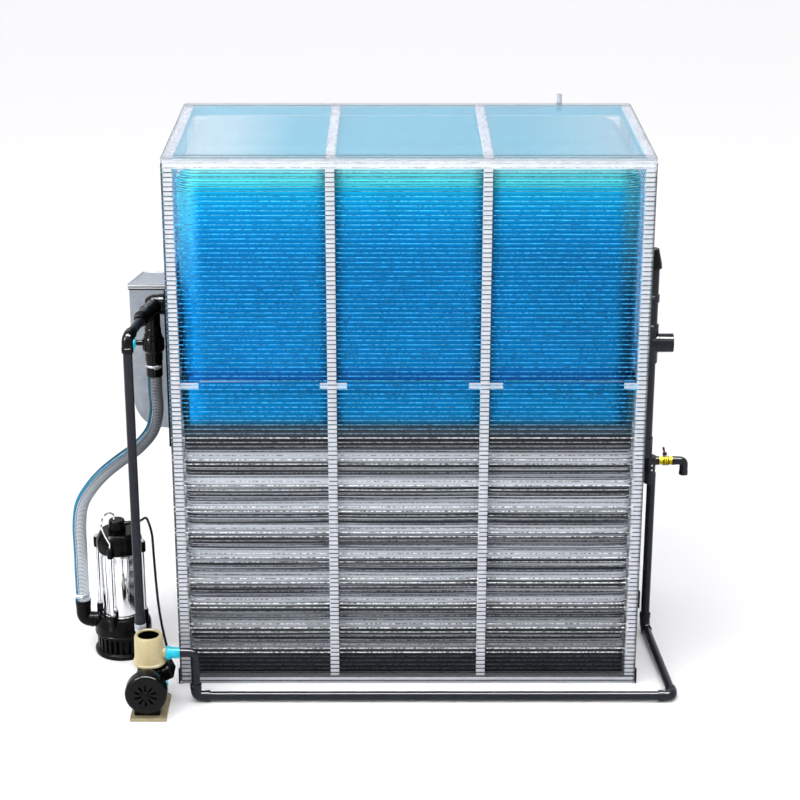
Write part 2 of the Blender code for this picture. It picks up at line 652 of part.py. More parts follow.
def make_booster():
    """The booster pump: base plate, motor with its casing, priming pot and union."""
    box("booster_base", (PLATE_X[0], PLATE_Y[0], 0), (PLATE_X[1], PLATE_Y[1], PLATE_TOP), BEIGE, 0.5)
    rings = [(FAN_FACE, 0.066), (FAN_FACE + 0.005, 0.072), (FAN_FACE + 0.010, FAN_R), (-0.655, FAN_R),
             (-0.654, 0.062), (-0.620, 0.062), (-0.615, 0.049), (-0.460, 0.049), (-0.446, 0.040)]
    centre = (BOOSTER_X, 0, BOOSTER_AXIS_Z)
    motor = turned("booster_motor", rings, centre, "Y", 40, (BLACK, 0.45))
    foot = box_mesh("motor_foot", (BOOSTER_X - 0.045, -0.680, PLATE_TOP + GAP), (BOOSTER_X + 0.045, -0.515, 0.070))
    neck = rod_mesh("motor_neck", (BOOSTER_X, PIPE_Y, 0.110), (BOOSTER_X, PIPE_Y, POT_FOOT - GAP), 0.044, 32)
    seat = rod_mesh("riser_seat", (RISER.x, RISER.y, 0.105), (RISER.x, RISER.y, 0.150 - GAP), 0.022, 20)
    case = box_mesh("terminal_box", (-0.024, -0.042, -0.022), (0.024, 0.042, 0.022))
    case.transform(Matrix.Translation(TERMINAL) @ Matrix.Rotation(math.radians(-25), 4, "Y"))
    gland = rod_mesh("terminal_gland", TERMINAL + Vector((0, 0.030, 0)), TERMINAL + Vector((0, 0.065, 0)),
                     0.009, 16, 0.007)
    combine(motor, [helper(shape.name, shape) for shape in (foot, neck, seat, case, gland)], "UNION")
    rings = [(POT_FOOT, 0.053), (POT_FOOT + 0.004, 0.057), (POT_FOOT + 0.010, 0.057),
             (POT_FOOT + 0.022, 0.0515), (POT_TOP - 0.012, POT_R), (POT_TOP - 0.003, 0.047), (POT_TOP, 0.042)]
    pot = turned("booster_pot", rings, (BOOSTER_X, PIPE_Y, 0), "Z", 40, (BEIGE, 0.45))
    cup = rod_mesh("pot_cup", (BOOSTER_X, PIPE_Y, POT_BORE_FLOOR), (BOOSTER_X, PIPE_Y, POT_TOP + 0.02),
                   POT_BORE_R, 32)
    boss = rod_mesh("pot_boss", (BOOSTER_X + 0.044, PIPE_Y, PORT_Z), (BOSS_X, PIPE_Y, PORT_Z), 0.021)
    combine(pot, [helper("pot_boss", boss)], "UNION")
    combine(pot, [helper("pot_cup", cup)], "DIFFERENCE")
    near = BOSS_X + GAP
    rings = [(near, 0.0245), (near + 0.014, 0.0245), (near + 0.015, 0.0225), (near + 0.018, 0.0225),
             (near + 0.019, 0.0200), (UNION_END, 0.0190)]
    turned("pot_union", rings, (0, PIPE_Y, PORT_Z), "X", 24, (TEAL, 0.3))


def make_supply():
    """The supply pipe: down from the pot, along the front and the right side, and up to the tap."""
    start = UNION_END + GAP
    path = [(start, PIPE_Y, PORT_Z), (LEG_X, PIPE_Y, PORT_Z), (LEG_X, PIPE_Y, ELBOW_R),
            (CORNER_X - 0.052, PIPE_Y, ELBOW_R)]
    run = add("supply_front_run", tube_mesh("supply_front_run", bend(path, 0.022), PIPE_R, 4), PIPE_GREY,
              0.4, 0, smooth=True)
    low = bend([(LEG_X, PIPE_Y, 0.070), (LEG_X, PIPE_Y, ELBOW_R), (LEG_X + 0.050, PIPE_Y, ELBOW_R)], 0.026)
    combine(run, [helper("leg_elbow", tube_mesh("leg_elbow", low, ELBOW_R, 4))], "UNION")
    corner = Vector((CORNER_X, PIPE_Y, ELBOW_R))
    back = Vector((RIGHT_X, 0, ELBOW_R))
    along = (back - corner).normalized()
    side = tube_mesh("supply_side_run", [corner + along * 0.03, back - along * 0.044], PIPE_R, 4)
    side = add("supply_side_run", side, PIPE_GREY, 0.4, 0, smooth=True)
    elbow = bend([corner - Vector((0.052 - GAP, 0, 0)), corner, corner + along * 0.050], 0.026)
    combine(side, [helper("corner_elbow", tube_mesh("corner_elbow", elbow, ELBOW_R, 4))], "UNION")
    riser = rod_mesh("supply_riser", (RIGHT_X, 0, 0.04), (RIGHT_X, 0, 0.640), PIPE_R, 24)
    riser = add("supply_riser", riser, PIPE_GREY, 0.4, 0, smooth=True)
    elbow = bend([back - along * (0.044 - GAP), back, back + Vector((0, 0, 0.052))], 0.026)
    rings = [(0.600, 0.0205), (0.668, 0.0215), (0.670, 0.0225), (TEE_TOP, 0.0225)]
    tee = turned("tap_tee", rings, (RIGHT_X - 0.008, 0, 0), "Z", 24)
    branch = rod_mesh("tap_branch", (RIGHT_X, 0, TAP_Z), (VALVE_X[0] - GAP, 0, TAP_Z), 0.0158)
    shapes = [tube_mesh("riser_elbow_low", elbow, ELBOW_R, 4), branch]
    combine(riser, [tee, *(helper(shape.name, shape) for shape in shapes)], "UNION")


def make_standpipe():
    """The standpipe above the tap, with the overflow that comes out of the wall, and its cowl."""
    foot = TEE_TOP + GAP
    rings = [(foot, 0.028), (0.780, 0.028), (0.784, STAND_R), (1.066, STAND_R), (1.068, 0.031),
             (1.210, 0.031), (1.212, STAND_R), (1.294, STAND_R), (1.296, 0.029), (1.320, 0.029),
             (1.322, STAND_R), (STAND_TOP, STAND_R), (STAND_TOP + 0.002, 0.033),
             (STAND_TOP + 0.020, 0.031), (STAND_TOP + CAP_HEIGHT, 0.020)]
    pipe = turned("standpipe", rings, (STAND_X, 0, 0), "Z", 24, (PIPE_GREY, 0.4))
    stub = rod_mesh("overflow_stub", (-WALL_X, 0, OVERFLOW_Z), (OVERFLOW_END, 0, OVERFLOW_Z), OVERFLOW_R, 32)
    bore = rod_mesh("overflow_bore", (STAND_X + 0.030, 0, OVERFLOW_Z), (OVERFLOW_END + 0.02, 0, OVERFLOW_Z),
                    OVERFLOW_R - 0.0045, 32)
    combine(pipe, [helper("overflow_stub", stub)], "UNION")
    combine(pipe, [helper("overflow_bore", bore)], "DIFFERENCE")


def make_tap():
    """The brass tap, its lever and its spout."""
    rings = [(VALVE_X[0], 0.0165), (VALVE_X[0] + 0.012, 0.0165), (VALVE_X[0] + 0.014, 0.0185),
             (VALVE_X[1] - 0.014, 0.0185), (VALVE_X[1] - 0.012, 0.0165), (VALVE_X[1], 0.0165)]
    valve = turned("tap_valve", rings, (0, 0, TAP_Z), "X", 24, (BRASS, 0.25, 1.0))
    pivot = (VALVE_X[0] + 0.020, 0.0, TAP_Z + 0.022)
    stem = rod_mesh("tap_stem", (pivot[0], 0, TAP_Z), (pivot[0], 0, pivot[2]), 0.006, 16)
    combine(valve, [helper("tap_stem", stem)], "UNION")
    lever = add("tap_handle", rod_mesh("tap_handle", (0, 0, GAP), (0, 0, 0.009), 0.008, 16), (0.16, 0.03, 0.02),
                0.4, 0, pivot, True)
    blade = box_mesh("tap_blade", (-0.007, 0, 0.003), (0.007, 0.052, 0.007))
    for vert in blade.vertices:
        if vert.co.y > 0.02:
            vert.co.z += 0.016
    blade = helper("tap_blade", blade)
    blade.location = pivot
    combine(lever, [blade], "UNION")
    path = [(VALVE_X[1] + GAP, 0, TAP_Z), (SPOUT_X, 0, TAP_Z), (SPOUT_X, 0, SPOUT_LOW)]
    spout = add("tap_spout", tube_mesh("tap_spout", bend(path, 0.018), 0.0165, 4), PIPE_GREY, 0.4, 0, smooth=True)
    bore = rod_mesh("spout_bore", (SPOUT_X, 0, SPOUT_LOW - 0.02), (SPOUT_X, 0, SPOUT_LOW + 0.028), BORE_R)
    combine(spout, [helper("spout_bore", bore)], "DIFFERENCE")


def make_gas_outlet():
    """The gas pipe: out of the back sheet and up past the roof."""
    path = [(GAS_X, DEPTH / 2 + GAP, GAS_LOW), (GAS_X, GAS_Y + 0.004, GAS_LOW), (GAS_X, GAS_Y + 0.004, GAS_TOP)]
    pipe = add("gas_outlet", tube_mesh("gas_outlet", bend(path, 0.012), GAS_R, 4), WHITE, 0.3, 0, smooth=True)
    bore = rod_mesh("gas_bore", (GAS_X, GAS_Y + 0.004, GAS_TOP - 0.06), (GAS_X, GAS_Y + 0.004, GAS_TOP + 0.01), 0.0068)
    combine(pipe, [helper("gas_bore", bore)], "DIFFERENCE")


make_tray()
make_posts()
make_roof_frame()
make_poles()
make_sheets()
make_membranes()
make_skirts()
make_hopper()
make_inlet()
make_hose()
make_submersible()
make_cable()
make_booster()
make_supply()
make_standpipe()
make_tap()
make_gas_outlet()
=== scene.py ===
# %% [markdown]
# # Household biogas digester: the looks
# A household biogas digester is a membrane tank with a gas bag over it, in a clear panel housing on
# a white tube frame. Two pumps and a feed hopper stand on its left, an overflow and a tap on its
# right. The solid model already gives every piece its size and place. This script loads that model
# and dresses it: finishes for the plain solids, and finer pieces where a plain solid is too simple.
# Everything is in metres, +Z is up, and the front of the housing faces -Y.

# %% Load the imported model
import json
import math

import bpy
from mathutils import Matrix, Vector, noise

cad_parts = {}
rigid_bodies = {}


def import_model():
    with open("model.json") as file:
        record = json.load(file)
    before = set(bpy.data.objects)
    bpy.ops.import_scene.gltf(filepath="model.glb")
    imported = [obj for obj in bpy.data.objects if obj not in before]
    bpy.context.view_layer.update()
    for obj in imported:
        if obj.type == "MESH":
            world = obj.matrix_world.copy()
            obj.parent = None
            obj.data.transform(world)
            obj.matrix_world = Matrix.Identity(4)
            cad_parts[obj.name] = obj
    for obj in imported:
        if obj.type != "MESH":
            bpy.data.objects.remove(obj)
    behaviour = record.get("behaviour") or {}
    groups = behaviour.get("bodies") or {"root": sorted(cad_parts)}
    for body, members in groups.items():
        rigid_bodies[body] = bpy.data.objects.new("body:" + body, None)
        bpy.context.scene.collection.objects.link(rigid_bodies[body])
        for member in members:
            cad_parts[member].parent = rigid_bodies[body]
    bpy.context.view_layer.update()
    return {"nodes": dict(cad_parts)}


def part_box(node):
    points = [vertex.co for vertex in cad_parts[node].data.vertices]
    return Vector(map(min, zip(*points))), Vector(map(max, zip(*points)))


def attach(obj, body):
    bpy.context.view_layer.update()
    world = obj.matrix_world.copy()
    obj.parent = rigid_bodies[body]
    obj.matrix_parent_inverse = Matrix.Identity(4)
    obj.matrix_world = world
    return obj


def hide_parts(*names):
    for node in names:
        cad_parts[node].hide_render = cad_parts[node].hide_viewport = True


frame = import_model()
scene = bpy.context.scene

# %% [markdown]
# ## Camera
# A product picture is easiest to match when the camera is set first. The lens and the place below
# come from the housing's corners: its edges meet at the vanishing points of a long lens that looks
# twenty degrees down. Building the camera's axes from its turns is clearer than chaining rotations.

# %% Camera
PICTURE = 800
FOCAL_LENGTH_PX = 2070.5
EYE = Vector((-0.0534, -7.0055, 3.5095))
PITCH, YAW, ROLL = 0.35378, 0.003785, 0.001220

ahead = Vector((math.sin(YAW) * math.cos(PITCH), math.cos(YAW) * math.cos(PITCH), -math.sin(PITCH)))
level = Vector((math.cos(YAW), -math.sin(YAW), 0))
lifted = level.cross(ahead)
right = level * math.cos(ROLL) + lifted * math.sin(ROLL)
up = lifted * math.cos(ROLL) - level * math.sin(ROLL)

lens = bpy.data.cameras.new("camera")
lens.sensor_width = 36
lens.lens = FOCAL_LENGTH_PX * lens.sensor_width / PICTURE
camera = bpy.data.objects.new("camera", lens)
camera.matrix_world = Matrix.Translation(EYE) @ Matrix((right, up, -ahead)).transposed().to_4x4()
scene.collection.objects.link(camera)
scene.camera = camera
print("lens in millimetres:", round(lens.lens, 1))

# %% [markdown]
# ## Colours and nodes
# Paint and plastic are described by the hex values that a screen shows, while a shader works with
# linear light, so one function turns the first into the second. A second small function adds a
# node, sets it and links it, and takes hex values as they are, which keeps every material below
# down to a few readable lines.


# %% Helpers for materials
def paint(code):
    """The linear colour of an sRGB hex value, with full opacity."""
    parts = [int(code[place : place + 2], 16) / 255 for place in (1, 3, 5)]
    linear = [v / 12.92 if v <= 0.04045 else ((v + 0.055) / 1.055) ** 2.4 for v in parts]
    return (*linear, 1.0)


print("mid grey in linear light is", [round(v, 3) for v in paint("#808080")[:3]])


# %% Helper that adds a node
def node(tree, kind, inputs=None, stops=None, **settings):
    """Add a node, set its properties, and set or link its inputs and a ramp's stops."""
    made = tree.nodes.new("ShaderNode" + kind)
    for key, value in settings.items():
        setattr(made, key, value)
    for key, value in (inputs or {}).items():
        if isinstance(value, bpy.types.NodeSocket):
            tree.links.new(value, made.inputs[key])
        else:
            made.inputs[key].default_value = paint(value) if isinstance(value, str) else value
    for index, (place, colour) in enumerate(stops or ()):
        stop = made.color_ramp.elements[index] if index < 2 else made.color_ramp.elements.new(place)
        stop.position = place
        stop.color = paint(colour) if isinstance(colour, str) else colour
    return made


print("helper ready:", node.__name__)


# %% Helpers that make a material
def surface(name, slot, colour, roughness, ior=1.5, metallic=0.0, **values):
    """A material with one Principled shader, for a material slot of the model's record."""
    made = bpy.data.materials.new(name)
    made.use_nodes = True
    made["slot"] = slot
    shader = made.node_tree.nodes["Principled BSDF"]
    shader.inputs["Base Color"].default_value = paint(colour)
    shader.inputs["Roughness"].default_value = roughness
    shader.inputs["IOR"].default_value = ior
    shader.inputs["Metallic"].default_value = metallic
    for key, value in values.items():
        shader.inputs[key.replace("_", " ")].default_value = value
    return made


def grained(made, light, dark, size, depth, stretch=(1, 1, 1), rougher=0.0):
    """Give a material patches of two colours and a fine relief, from one noise of a real size."""
    tree = made.node_tree
    shader = tree.nodes["Principled BSDF"]
    place = node(tree, "TexCoord")
    scaled = node(tree, "Mapping", {"Vector": place.outputs["Object"], "Scale": stretch})
    patches = node(tree, "TexNoise", {"Vector": scaled.outputs[0], "Scale": 1 / (size * 12), "Detail": 6.0})
    grain = node(tree, "TexNoise", {"Vector": scaled.outputs[0], "Scale": 1 / size, "Detail": 3.0})
    spread = node(tree, "MapRange", {"Value": patches.outputs[0], "From Min": 0.35, "From Max": 0.65})
    mixed = node(
        tree, "Mix", {0: spread.outputs[0], 6: dark, 7: light}, data_type="RGBA"
    )
    tree.links.new(mixed.outputs[2], shader.inputs["Base Color"])
    relief = node(tree, "Bump", {"Height": grain.outputs[0], "Strength": 0.5, "Distance": depth})
    tree.links.new(relief.outputs[0], shader.inputs["Normal"])
    if rougher:
        low = shader.inputs["Roughness"].default_value
        wear_and_streak_light = node(
            tree,
            "MapRange",
            {
                "Value": patches.outputs[0], "From Min": 0.3, "From Max": 0.7, "To Min": low,
                "To Max": low + rougher,
            },
        )
        tree.links.new(wear_and_streak_light.outputs[0], shader.inputs["Roughness"])
    return made


black, white = "#000000", "#FFFFFF"
print("black and white are", black, white)

# %% [markdown]
# ## Floor and light
# The picture has a plain near-white floor and a soft, even studio light. A large matt plane gives
# the floor and the pale horizon. The sky is a gradient, a little brighter on the left and overhead,
# which rounds off the bag and the pipes. Two thin strips and a small softbox light the plant. Two
# broad sheen lamps show only as reflections, so they add gloss and leave the colours as they are.

# %% Floor
FLOOR_HALF = 60  # far enough out to meet the horizon
floor_mesh = bpy.data.meshes.new("floor")
floor_corners = [(x * FLOOR_HALF, y * FLOOR_HALF, 0) for x, y in ((-1, -1), (1, -1), (1, 1), (-1, 1))]
floor_mesh.from_pydata(floor_corners, [], [(0, 1, 2, 3)])
floor = bpy.data.objects.new("floor", floor_mesh)
scene.collection.objects.link(floor)
floor_mesh.materials.append(surface("matt_floor", "", "#FAF9FB", 0.9, Specular_IOR_Level=0.1))

# %% Light
sky = bpy.data.worlds.new("studio")
scene.world = sky
sky.use_nodes = True
tree = sky.node_tree
place = node(tree, "TexCoord")
split = node(tree, "SeparateXYZ", {0: place.outputs["Generated"]})
height = node(
    tree,
    "ValToRGB",
    {0: split.outputs["Z"]}, stops=[(0.0, (0.97, 0.97, 0.98, 1)), (0.7, (1.0, 1.0, 1.0, 1))],
)
leftness = node(
    tree, "MapRange", {"Value": split.outputs["X"], "From Min": -1.0, "To Min": 1.24, "To Max": 0.70}
)
overhead = node(tree, "MapRange", {"Value": split.outputs["Z"], "From Min": 0.12, "From Max": 0.45})
sided = node(tree, "Mix", {0: overhead.outputs[0], 2: 1.0, 3: leftness.outputs[0]}, data_type="FLOAT")
shaded = node(tree, "VectorMath", {0: height.outputs[0], "Scale": sided.outputs[0]}, operation="SCALE")
background = tree.nodes["Background"]
background.inputs["Strength"].default_value = 1.02
tree.links.new(shaded.outputs[0], background.inputs["Color"])

# name, place, what it points at, width, height, power, and whether it lights matt surfaces too
for name, spot, aim, wide, tall, power, lights_surfaces in (
    ("strip_overhead", (0.0, -3.6, 5.2), (0, 0, 0.6), 7.0, 0.16, 150, True),
    ("strip_left", (-5.0, -4.2, 2.6), (-0.4, 0, 0.9), 0.16, 4.5, 120, True),
    ("softbox_top", (-0.6, -0.6, 5.6), (0, 0, 1.9), 1.4, 1.4, 35, True),
    ("sheen_overhead", (0.0, -0.6, 5.4), (0, -0.6, 0), 6.5, 1.9, 2700, False),
    ("sheen_left", (-4.2, -2.2, 4.2), (-0.9, -0.2, 0.9), 1.0, 2.4, 620, False),
):
    lamp = bpy.data.lights.new(name, "AREA")
    lamp.shape = "RECTANGLE"
    lamp.size = wide
    lamp.size_y = tall
    lamp.energy = power
    light = bpy.data.objects.new(name, lamp)
    light.location = spot
    light.visible_diffuse = lights_surfaces
    light.rotation_euler = (Vector(aim) - Vector(spot)).to_track_quat("-Z", "Y").to_euler()
    scene.collection.objects.link(light)
scene.view_settings.view_transform = "Standard"
scene.cycles.transparent_max_bounces = 32  # a look through the housing passes many clear faces

# %% [markdown]
# ## Shapes
# Nearly every piece here is a stack of closed rings of points with a skin over them: a turned pot,
# a bent pipe, a rolled hopper, a bag. So one function skins a stack of rings, and the ones after it
# only work out where the rings go. This keeps each shape exact, with no hidden operator state.


# %% Helpers for shapes
def skinned(name, rings, along=None, capped=True):
    """A mesh over rings of points that all have the same count, each anticlockwise from its front."""
    count = len(rings[0])
    faces = []
    for level in range(len(rings) - 1):
        for step in range(count):
            after = (step + 1) % count
            low = level * count
            faces.append((low + step, low + after, low + count + after, low + count + step))
    if capped:
        faces.append(tuple(reversed(range(count))))
        faces.append(tuple(range((len(rings) - 1) * count, len(rings) * count)))
    mesh = bpy.data.meshes.new(name)
    mesh.from_pydata([tuple(point) for ring in rings for point in ring], [], faces)
    if along:
        lay = mesh.uv_layers.new(name="lay")
        corner = 0
        for level in range(len(rings) - 1):
            for step in range(count):
                for turn, length in (
                    (step, level), (step + 1, level), (step + 1, level + 1), (step, level + 1)
                ):
                    lay.data[corner].uv = (turn / count, along[length])
                    corner += 1
    return mesh


def piece(name, data, finish, stands_for=(), body="plant", bevel=0.0, sharp=35):
    """Put a mesh or curve in the scene as one piece of the digester, with its finish and its body."""
    made = bpy.data.objects.new(name, data)
    scene.collection.objects.link(made)
    data.materials.append(finish)
    if made.type == "MESH":
        data.shade_smooth()
        if bevel:
            rounding = made.modifiers.new("rounded_edges", "BEVEL")
            rounding.width = bevel
            rounding.segments = 3
            rounding.angle_limit = math.radians(sharp)
            rounding.harden_normals = True
        else:
            data.set_sharp_from_angle(angle=math.radians(sharp))
    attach(made, body)
    if stands_for:
        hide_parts(*([stands_for] if isinstance(stands_for, str) else stands_for))
    return made


print("helpers ready:", skinned.__name__, piece.__name__)


# %% Helper for turned pieces
def turned(name, profile, centre, finish, axis="Z", sides=64, phase=0.0, **more):
    """A lathe-turned piece from (place along the axis, radius) pairs, lowest first."""
    turn = {
        "Z": Matrix.Identity(3), "X": Matrix.Rotation(math.pi / 2, 3, "Y"),
        "Y": Matrix.Rotation(-math.pi / 2, 3, "X"),
    }
    rings = []
    for place, radius in profile:
        ring = []
        for step in range(sides):
            angle = 2 * math.pi * (step + phase) / sides
            flat = Vector((radius * math.cos(angle), radius * math.sin(angle), place))
            ring.append(turn[axis] @ flat + Vector(centre))
        rings.append(ring)
    return piece(name, skinned(name, rings), finish, **more)


print("helper ready:", turned.__name__)


# %% Helpers for paths
def rounded_bend(points, radius, steps=12):
    """The points of a path with each inner corner rounded to a radius."""
    points = [Vector(point) for point in points]
    rounded = [points[0]]
    for before, corner, after in zip(points, points[1:], points[2:]):
        back = (before - corner).normalized()
        onward = (after - corner).normalized()
        reach = radius / math.tan(back.angle(onward) / 2)
        start = corner + back * reach
        end = corner + onward * reach
        for step in range(steps + 1):
            part = step / steps
            rounded.append(start * (1 - part) ** 2 + corner * 2 * part * (1 - part) + end * part**2)
    rounded.append(points[-1])
    return rounded


def evenly(points, spacing):
    """Points at an even spacing along a path of straight stretches."""
    points = [Vector(point) for point in points]
    total = sum((q - p).length for p, q in zip(points, points[1:]))
    count = max(2, round(total / spacing))
    wanted = [total * step / count for step in range(1, count)]
    route = [points[0]]
    walked = 0.0
    for p, q in zip(points, points[1:]):
        length = (q - p).length
        while wanted and walked + length >= wanted[0]:
            route.append(p.lerp(q, (wanted.pop(0) - walked) / length))
        walked += length
    route.append(points[-1])
    return route


def flowing(points, spacing):
    """Evenly spaced points along a smooth curve through the given ones."""
    points = [Vector(point) for point in points]
    ends = [2 * points[0] - points[1], *points, 2 * points[-1] - points[-2]]
    fine = []
    for a, b, c, d in zip(ends, ends[1:], ends[2:], ends[3:]):
        for step in range(20):
            t = step / 20
            bent = (2 * a - 5 * b + 4 * c - d) * t**2 + (3 * b - a - 3 * c + d) * t**3
            fine.append(0.5 * (2 * b + (c - a) * t + bent))
    return evenly([*fine, points[-1]], spacing)


def path_length(points):
    """The length of a path of straight stretches."""
    return sum((q - p).length for p, q in zip(points, points[1:]))


print("a quarter bend has", len(rounded_bend([(0, 0, 0), (1, 0, 0), (1, 1, 0)], 0.1)), "points")


# %% Helpers for tubes and boxes
def swept(name, route, radius_at, finish, sides=40, side=None, **more):
    """A tube along a path, whose radius is a function of the distance from its start."""
    heading = (route[1] - route[0]).normalized()
    across = Vector(side or (0.31, 0.95, 0.12))
    rings, along = [], []
    walked = 0.0
    for index, point in enumerate(route):
        before = route[max(index - 1, 0)]
        after = route[min(index + 1, len(route) - 1)]
        heading = (after - before).normalized()
        across = (across - heading * across.dot(heading)).normalized()
        upward = heading.cross(across)
        if index:
            walked += (point - route[index - 1]).length
        radius = radius_at(walked)
        turns = [2 * math.pi * step / sides for step in range(sides)]
        rings.append([point + (across * math.cos(a) + upward * math.sin(a)) * radius for a in turns])
        along.append(walked)
    return piece(name, skinned(name, rings, along), finish, **more)


def pipe(name, points, radius, finish, **more):
    """A plain pipe of one radius along straight stretches with rounded corners already in them."""
    return swept(name, [Vector(p) for p in points], lambda walked: radius, finish, **more)


def block(name, low, high, finish, turn=None, **more):
    """A box between two corners with softened edges, turned about its own middle if asked."""
    middle = (Vector(low) + Vector(high)) / 2
    half = (Vector(high) - Vector(low)) / 2
    signs = ((-1, -1), (1, -1), (1, 1), (-1, 1))
    rings = [[Vector((x * half.x, y * half.y, z * half.z)) for x, y in signs] for z in (-1, 1)]
    spin = turn or Matrix.Identity(3)
    rings = [[spin @ corner + middle for corner in ring] for ring in rings]
    more.setdefault("bevel", 0.0012)
    return piece(name, skinned(name, rings), finish, **more)


def around(middle, half):
    """The lowest and highest corner of a box, from its middle and half its size."""
    return middle - Vector(half), middle + Vector(half)


def ring_out(angle):
    """The level direction at an angle in radians, counted from +X."""
    return Vector((math.cos(angle), math.sin(angle), 0))


def named(*starts):
    """How many pieces have names that start so."""
    return len([made for made in scene.objects if made.name.startswith(starts)])


print("a box around the middle goes from and to", around(Vector((0, 0, 0)), (1, 1, 1)))

# %% [markdown]
# ## Feed hose
# The hose that feeds the tank is a clear PVC suction hose, 50 mm outside, with a hard grey spiral
# wound into its wall every 5.5 mm. It hangs stiffly from the inlet's cuff to the elbow of the pump,
# and is seen from end to end. The spiral shows best as a real ripple in the wall, so the tube's
# radius rises and falls along its length, and the colour follows the same distance.

# %% Finish of the feed hose
HOSE_PITCH = 0.0055
HOSE_RADIUS = 0.025
INLET = Vector((-0.883, -0.200, 1.334))
PUMP = Vector((-1.043, -0.147, 0.0))
HOSE_STOPS = [
    (-0.883, -0.200, 1.0877), (-0.883, -0.200, 1.060), (-0.883, -0.200, 1.025), (-0.882, -0.200, 0.955),
    (-0.902, -0.198, 0.880), (-0.955, -0.194, 0.815), (-1.015, -0.189, 0.768), (-1.080, -0.182, 0.712),
    (-1.132, -0.175, 0.650), (-1.168, -0.168, 0.585), (-1.182, -0.160, 0.500), (-1.184, -0.153, 0.400),
    (-1.186, -0.148, 0.300), (-1.186, -0.147, 0.260), (-1.186, -0.147, 0.230), (-1.186, -0.147, 0.2003),
]
# Clear PVC over a hard spiral: every turn shows as a pale ridge and a dark valley.
hose_finish = surface("clear_spiral_pvc", "clear_hose", "#7C858D", 0.25, ior=1.53, Specular_IOR_Level=0.07)
tree = hose_finish.node_tree
place = node(tree, "TexCoord")
split = node(tree, "SeparateXYZ", {0: place.outputs["UV"]})
turns = node(tree, "Math", {0: split.outputs["Y"], 1: 2 * math.pi / HOSE_PITCH}, operation="MULTIPLY")
wave = node(tree, "Math", {0: turns.outputs[0]}, operation="COSINE")
ridge = node(tree, "MapRange", {"Value": wave.outputs[0], "From Min": -0.6, "From Max": 0.7})
wall = node(
    tree, "Mix", {0: ridge.outputs[0], 6: "#3A4148", 7: "#D3DAE0"}, data_type="RGBA"
)
# A group of teal stripes runs along one side of the wall.
clear, deep_teal, bright_teal = (0, 0, 0, 0), "#04465F", "#0F7698"
edge = node(
    tree,
    "ValToRGB",
    {0: split.outputs["X"]},
    stops=[
        (0.0, clear), (0.800, deep_teal), (0.815, clear), (0.842, deep_teal), (0.865, bright_teal),
        (0.925, deep_teal), (0.950, bright_teal), (0.985, clear),
    ],
)
edge.color_ramp.interpolation = "CONSTANT"
striped = node(
    tree, "Mix", {0: edge.outputs["Alpha"], 6: wall.outputs[2], 7: edge.outputs["Color"]}, data_type="RGBA"
)
# The hose's colour grows darker towards its upper end.
height_darkening = node(
    tree,
    "MapRange",
    {"Value": split.outputs["Y"], "From Min": 0.28, "From Max": 0.62, "To Min": 0.42, "To Max": 1.06},
)
height_darkened = node(tree, "VectorMath", {0: striped.outputs[2], "Scale": height_darkening.outputs[0]}, operation="SCALE")
tree.links.new(height_darkened.outputs[0], tree.nodes["Principled BSDF"].inputs["Base Color"])
print("hose finish:", hose_finish.name)

# %% Feed hose
hose_route = flowing(HOSE_STOPS, HOSE_PITCH / 6)
hose = swept(
    "feed_hose_spiral",
    hose_route,
    lambda walked: HOSE_RADIUS - 0.0009 + 0.0009 * math.cos(2 * math.pi * walked / HOSE_PITCH),
    hose_finish, side=(-1, 0, 0),
    stands_for="feed_hose",
)

# %% [markdown]
# ## Pump cable
# The submersible pump's cable is a 9 mm rubber lead. It leaves the gland on the pump's cap, hangs
# in one loose curve, and goes into the terminal box on the booster. A curve with a round bevel is
# the simplest model of a lead, and keeps its centre line for measuring.

# %% Pump cable
CABLE_RADIUS = 0.0045
GLAND_START = PUMP + Vector((0.000, 0.000, 0.498))
GLAND_END = PUMP + Vector((0.046, -0.010, 0.511))
TERMINAL = Vector((-0.842, -0.553, 0.124))
GAP = 0.0003  # left between pieces that join, so that no two faces lie in one place
# Rubber sheath: nearly black, with a broad, weak highlight.
rubber = grained(
    surface("moulded_rubber_sheath", "cable_rubber", "#0B0C0D", 0.45, ior=1.52, Specular_IOR_Level=0.06),
    "#0E0F10", "#08090A", 0.0015, 0.0001, rougher=0.1,
)
out = (GLAND_END - GLAND_START).normalized()
cable_route = flowing(
    [
        GLAND_END + out * GAP, GLAND_END + out * 0.013, GLAND_END + out * 0.026, GLAND_END + out * 0.040,
        (-0.938, -0.196, 0.545), (-0.925, -0.225, 0.542), (-0.911, -0.250, 0.505), (-0.905, -0.275, 0.450),
        (-0.896, -0.315, 0.360), (-0.885, -0.362, 0.290), (-0.873, -0.398, 0.235), (-0.860, -0.422, 0.180),
        (-0.850, -0.436, 0.145), TERMINAL + Vector((0, 0.100, 0.001)), TERMINAL + Vector((0, 0.083, 0)),
        TERMINAL + Vector((0, 0.065 + GAP, 0)),
    ],
    0.008,
)
cable_curve = bpy.data.curves.new("pump_lead", "CURVE")
cable_curve.dimensions = "3D"
cable_curve.bevel_depth = CABLE_RADIUS
cable_curve.bevel_resolution = 4
cable_curve.use_fill_caps = True
line = cable_curve.splines.new("POLY")
line.points.add(len(cable_route) - 1)
for stop, point in zip(line.points, cable_route):
    stop.co = (*point, 1)
cable = piece("pump_lead", cable_curve, rubber, stands_for="pump_cable")

# %% [markdown]
# ## Finishes
# The frame is white powder-coated tube with a faint orange peel. The pipes are extruded PVC-U, dark
# grey, with fine die lines along them. The black fittings are moulded ABS and nearly glossy. The
# pump's shell is polished stainless steel, drawn along its length. The grain of a moulded surface
# is really 0.1 to 0.3 mm, too fine to show in the render, so it is drawn at 1 to 3 mm.

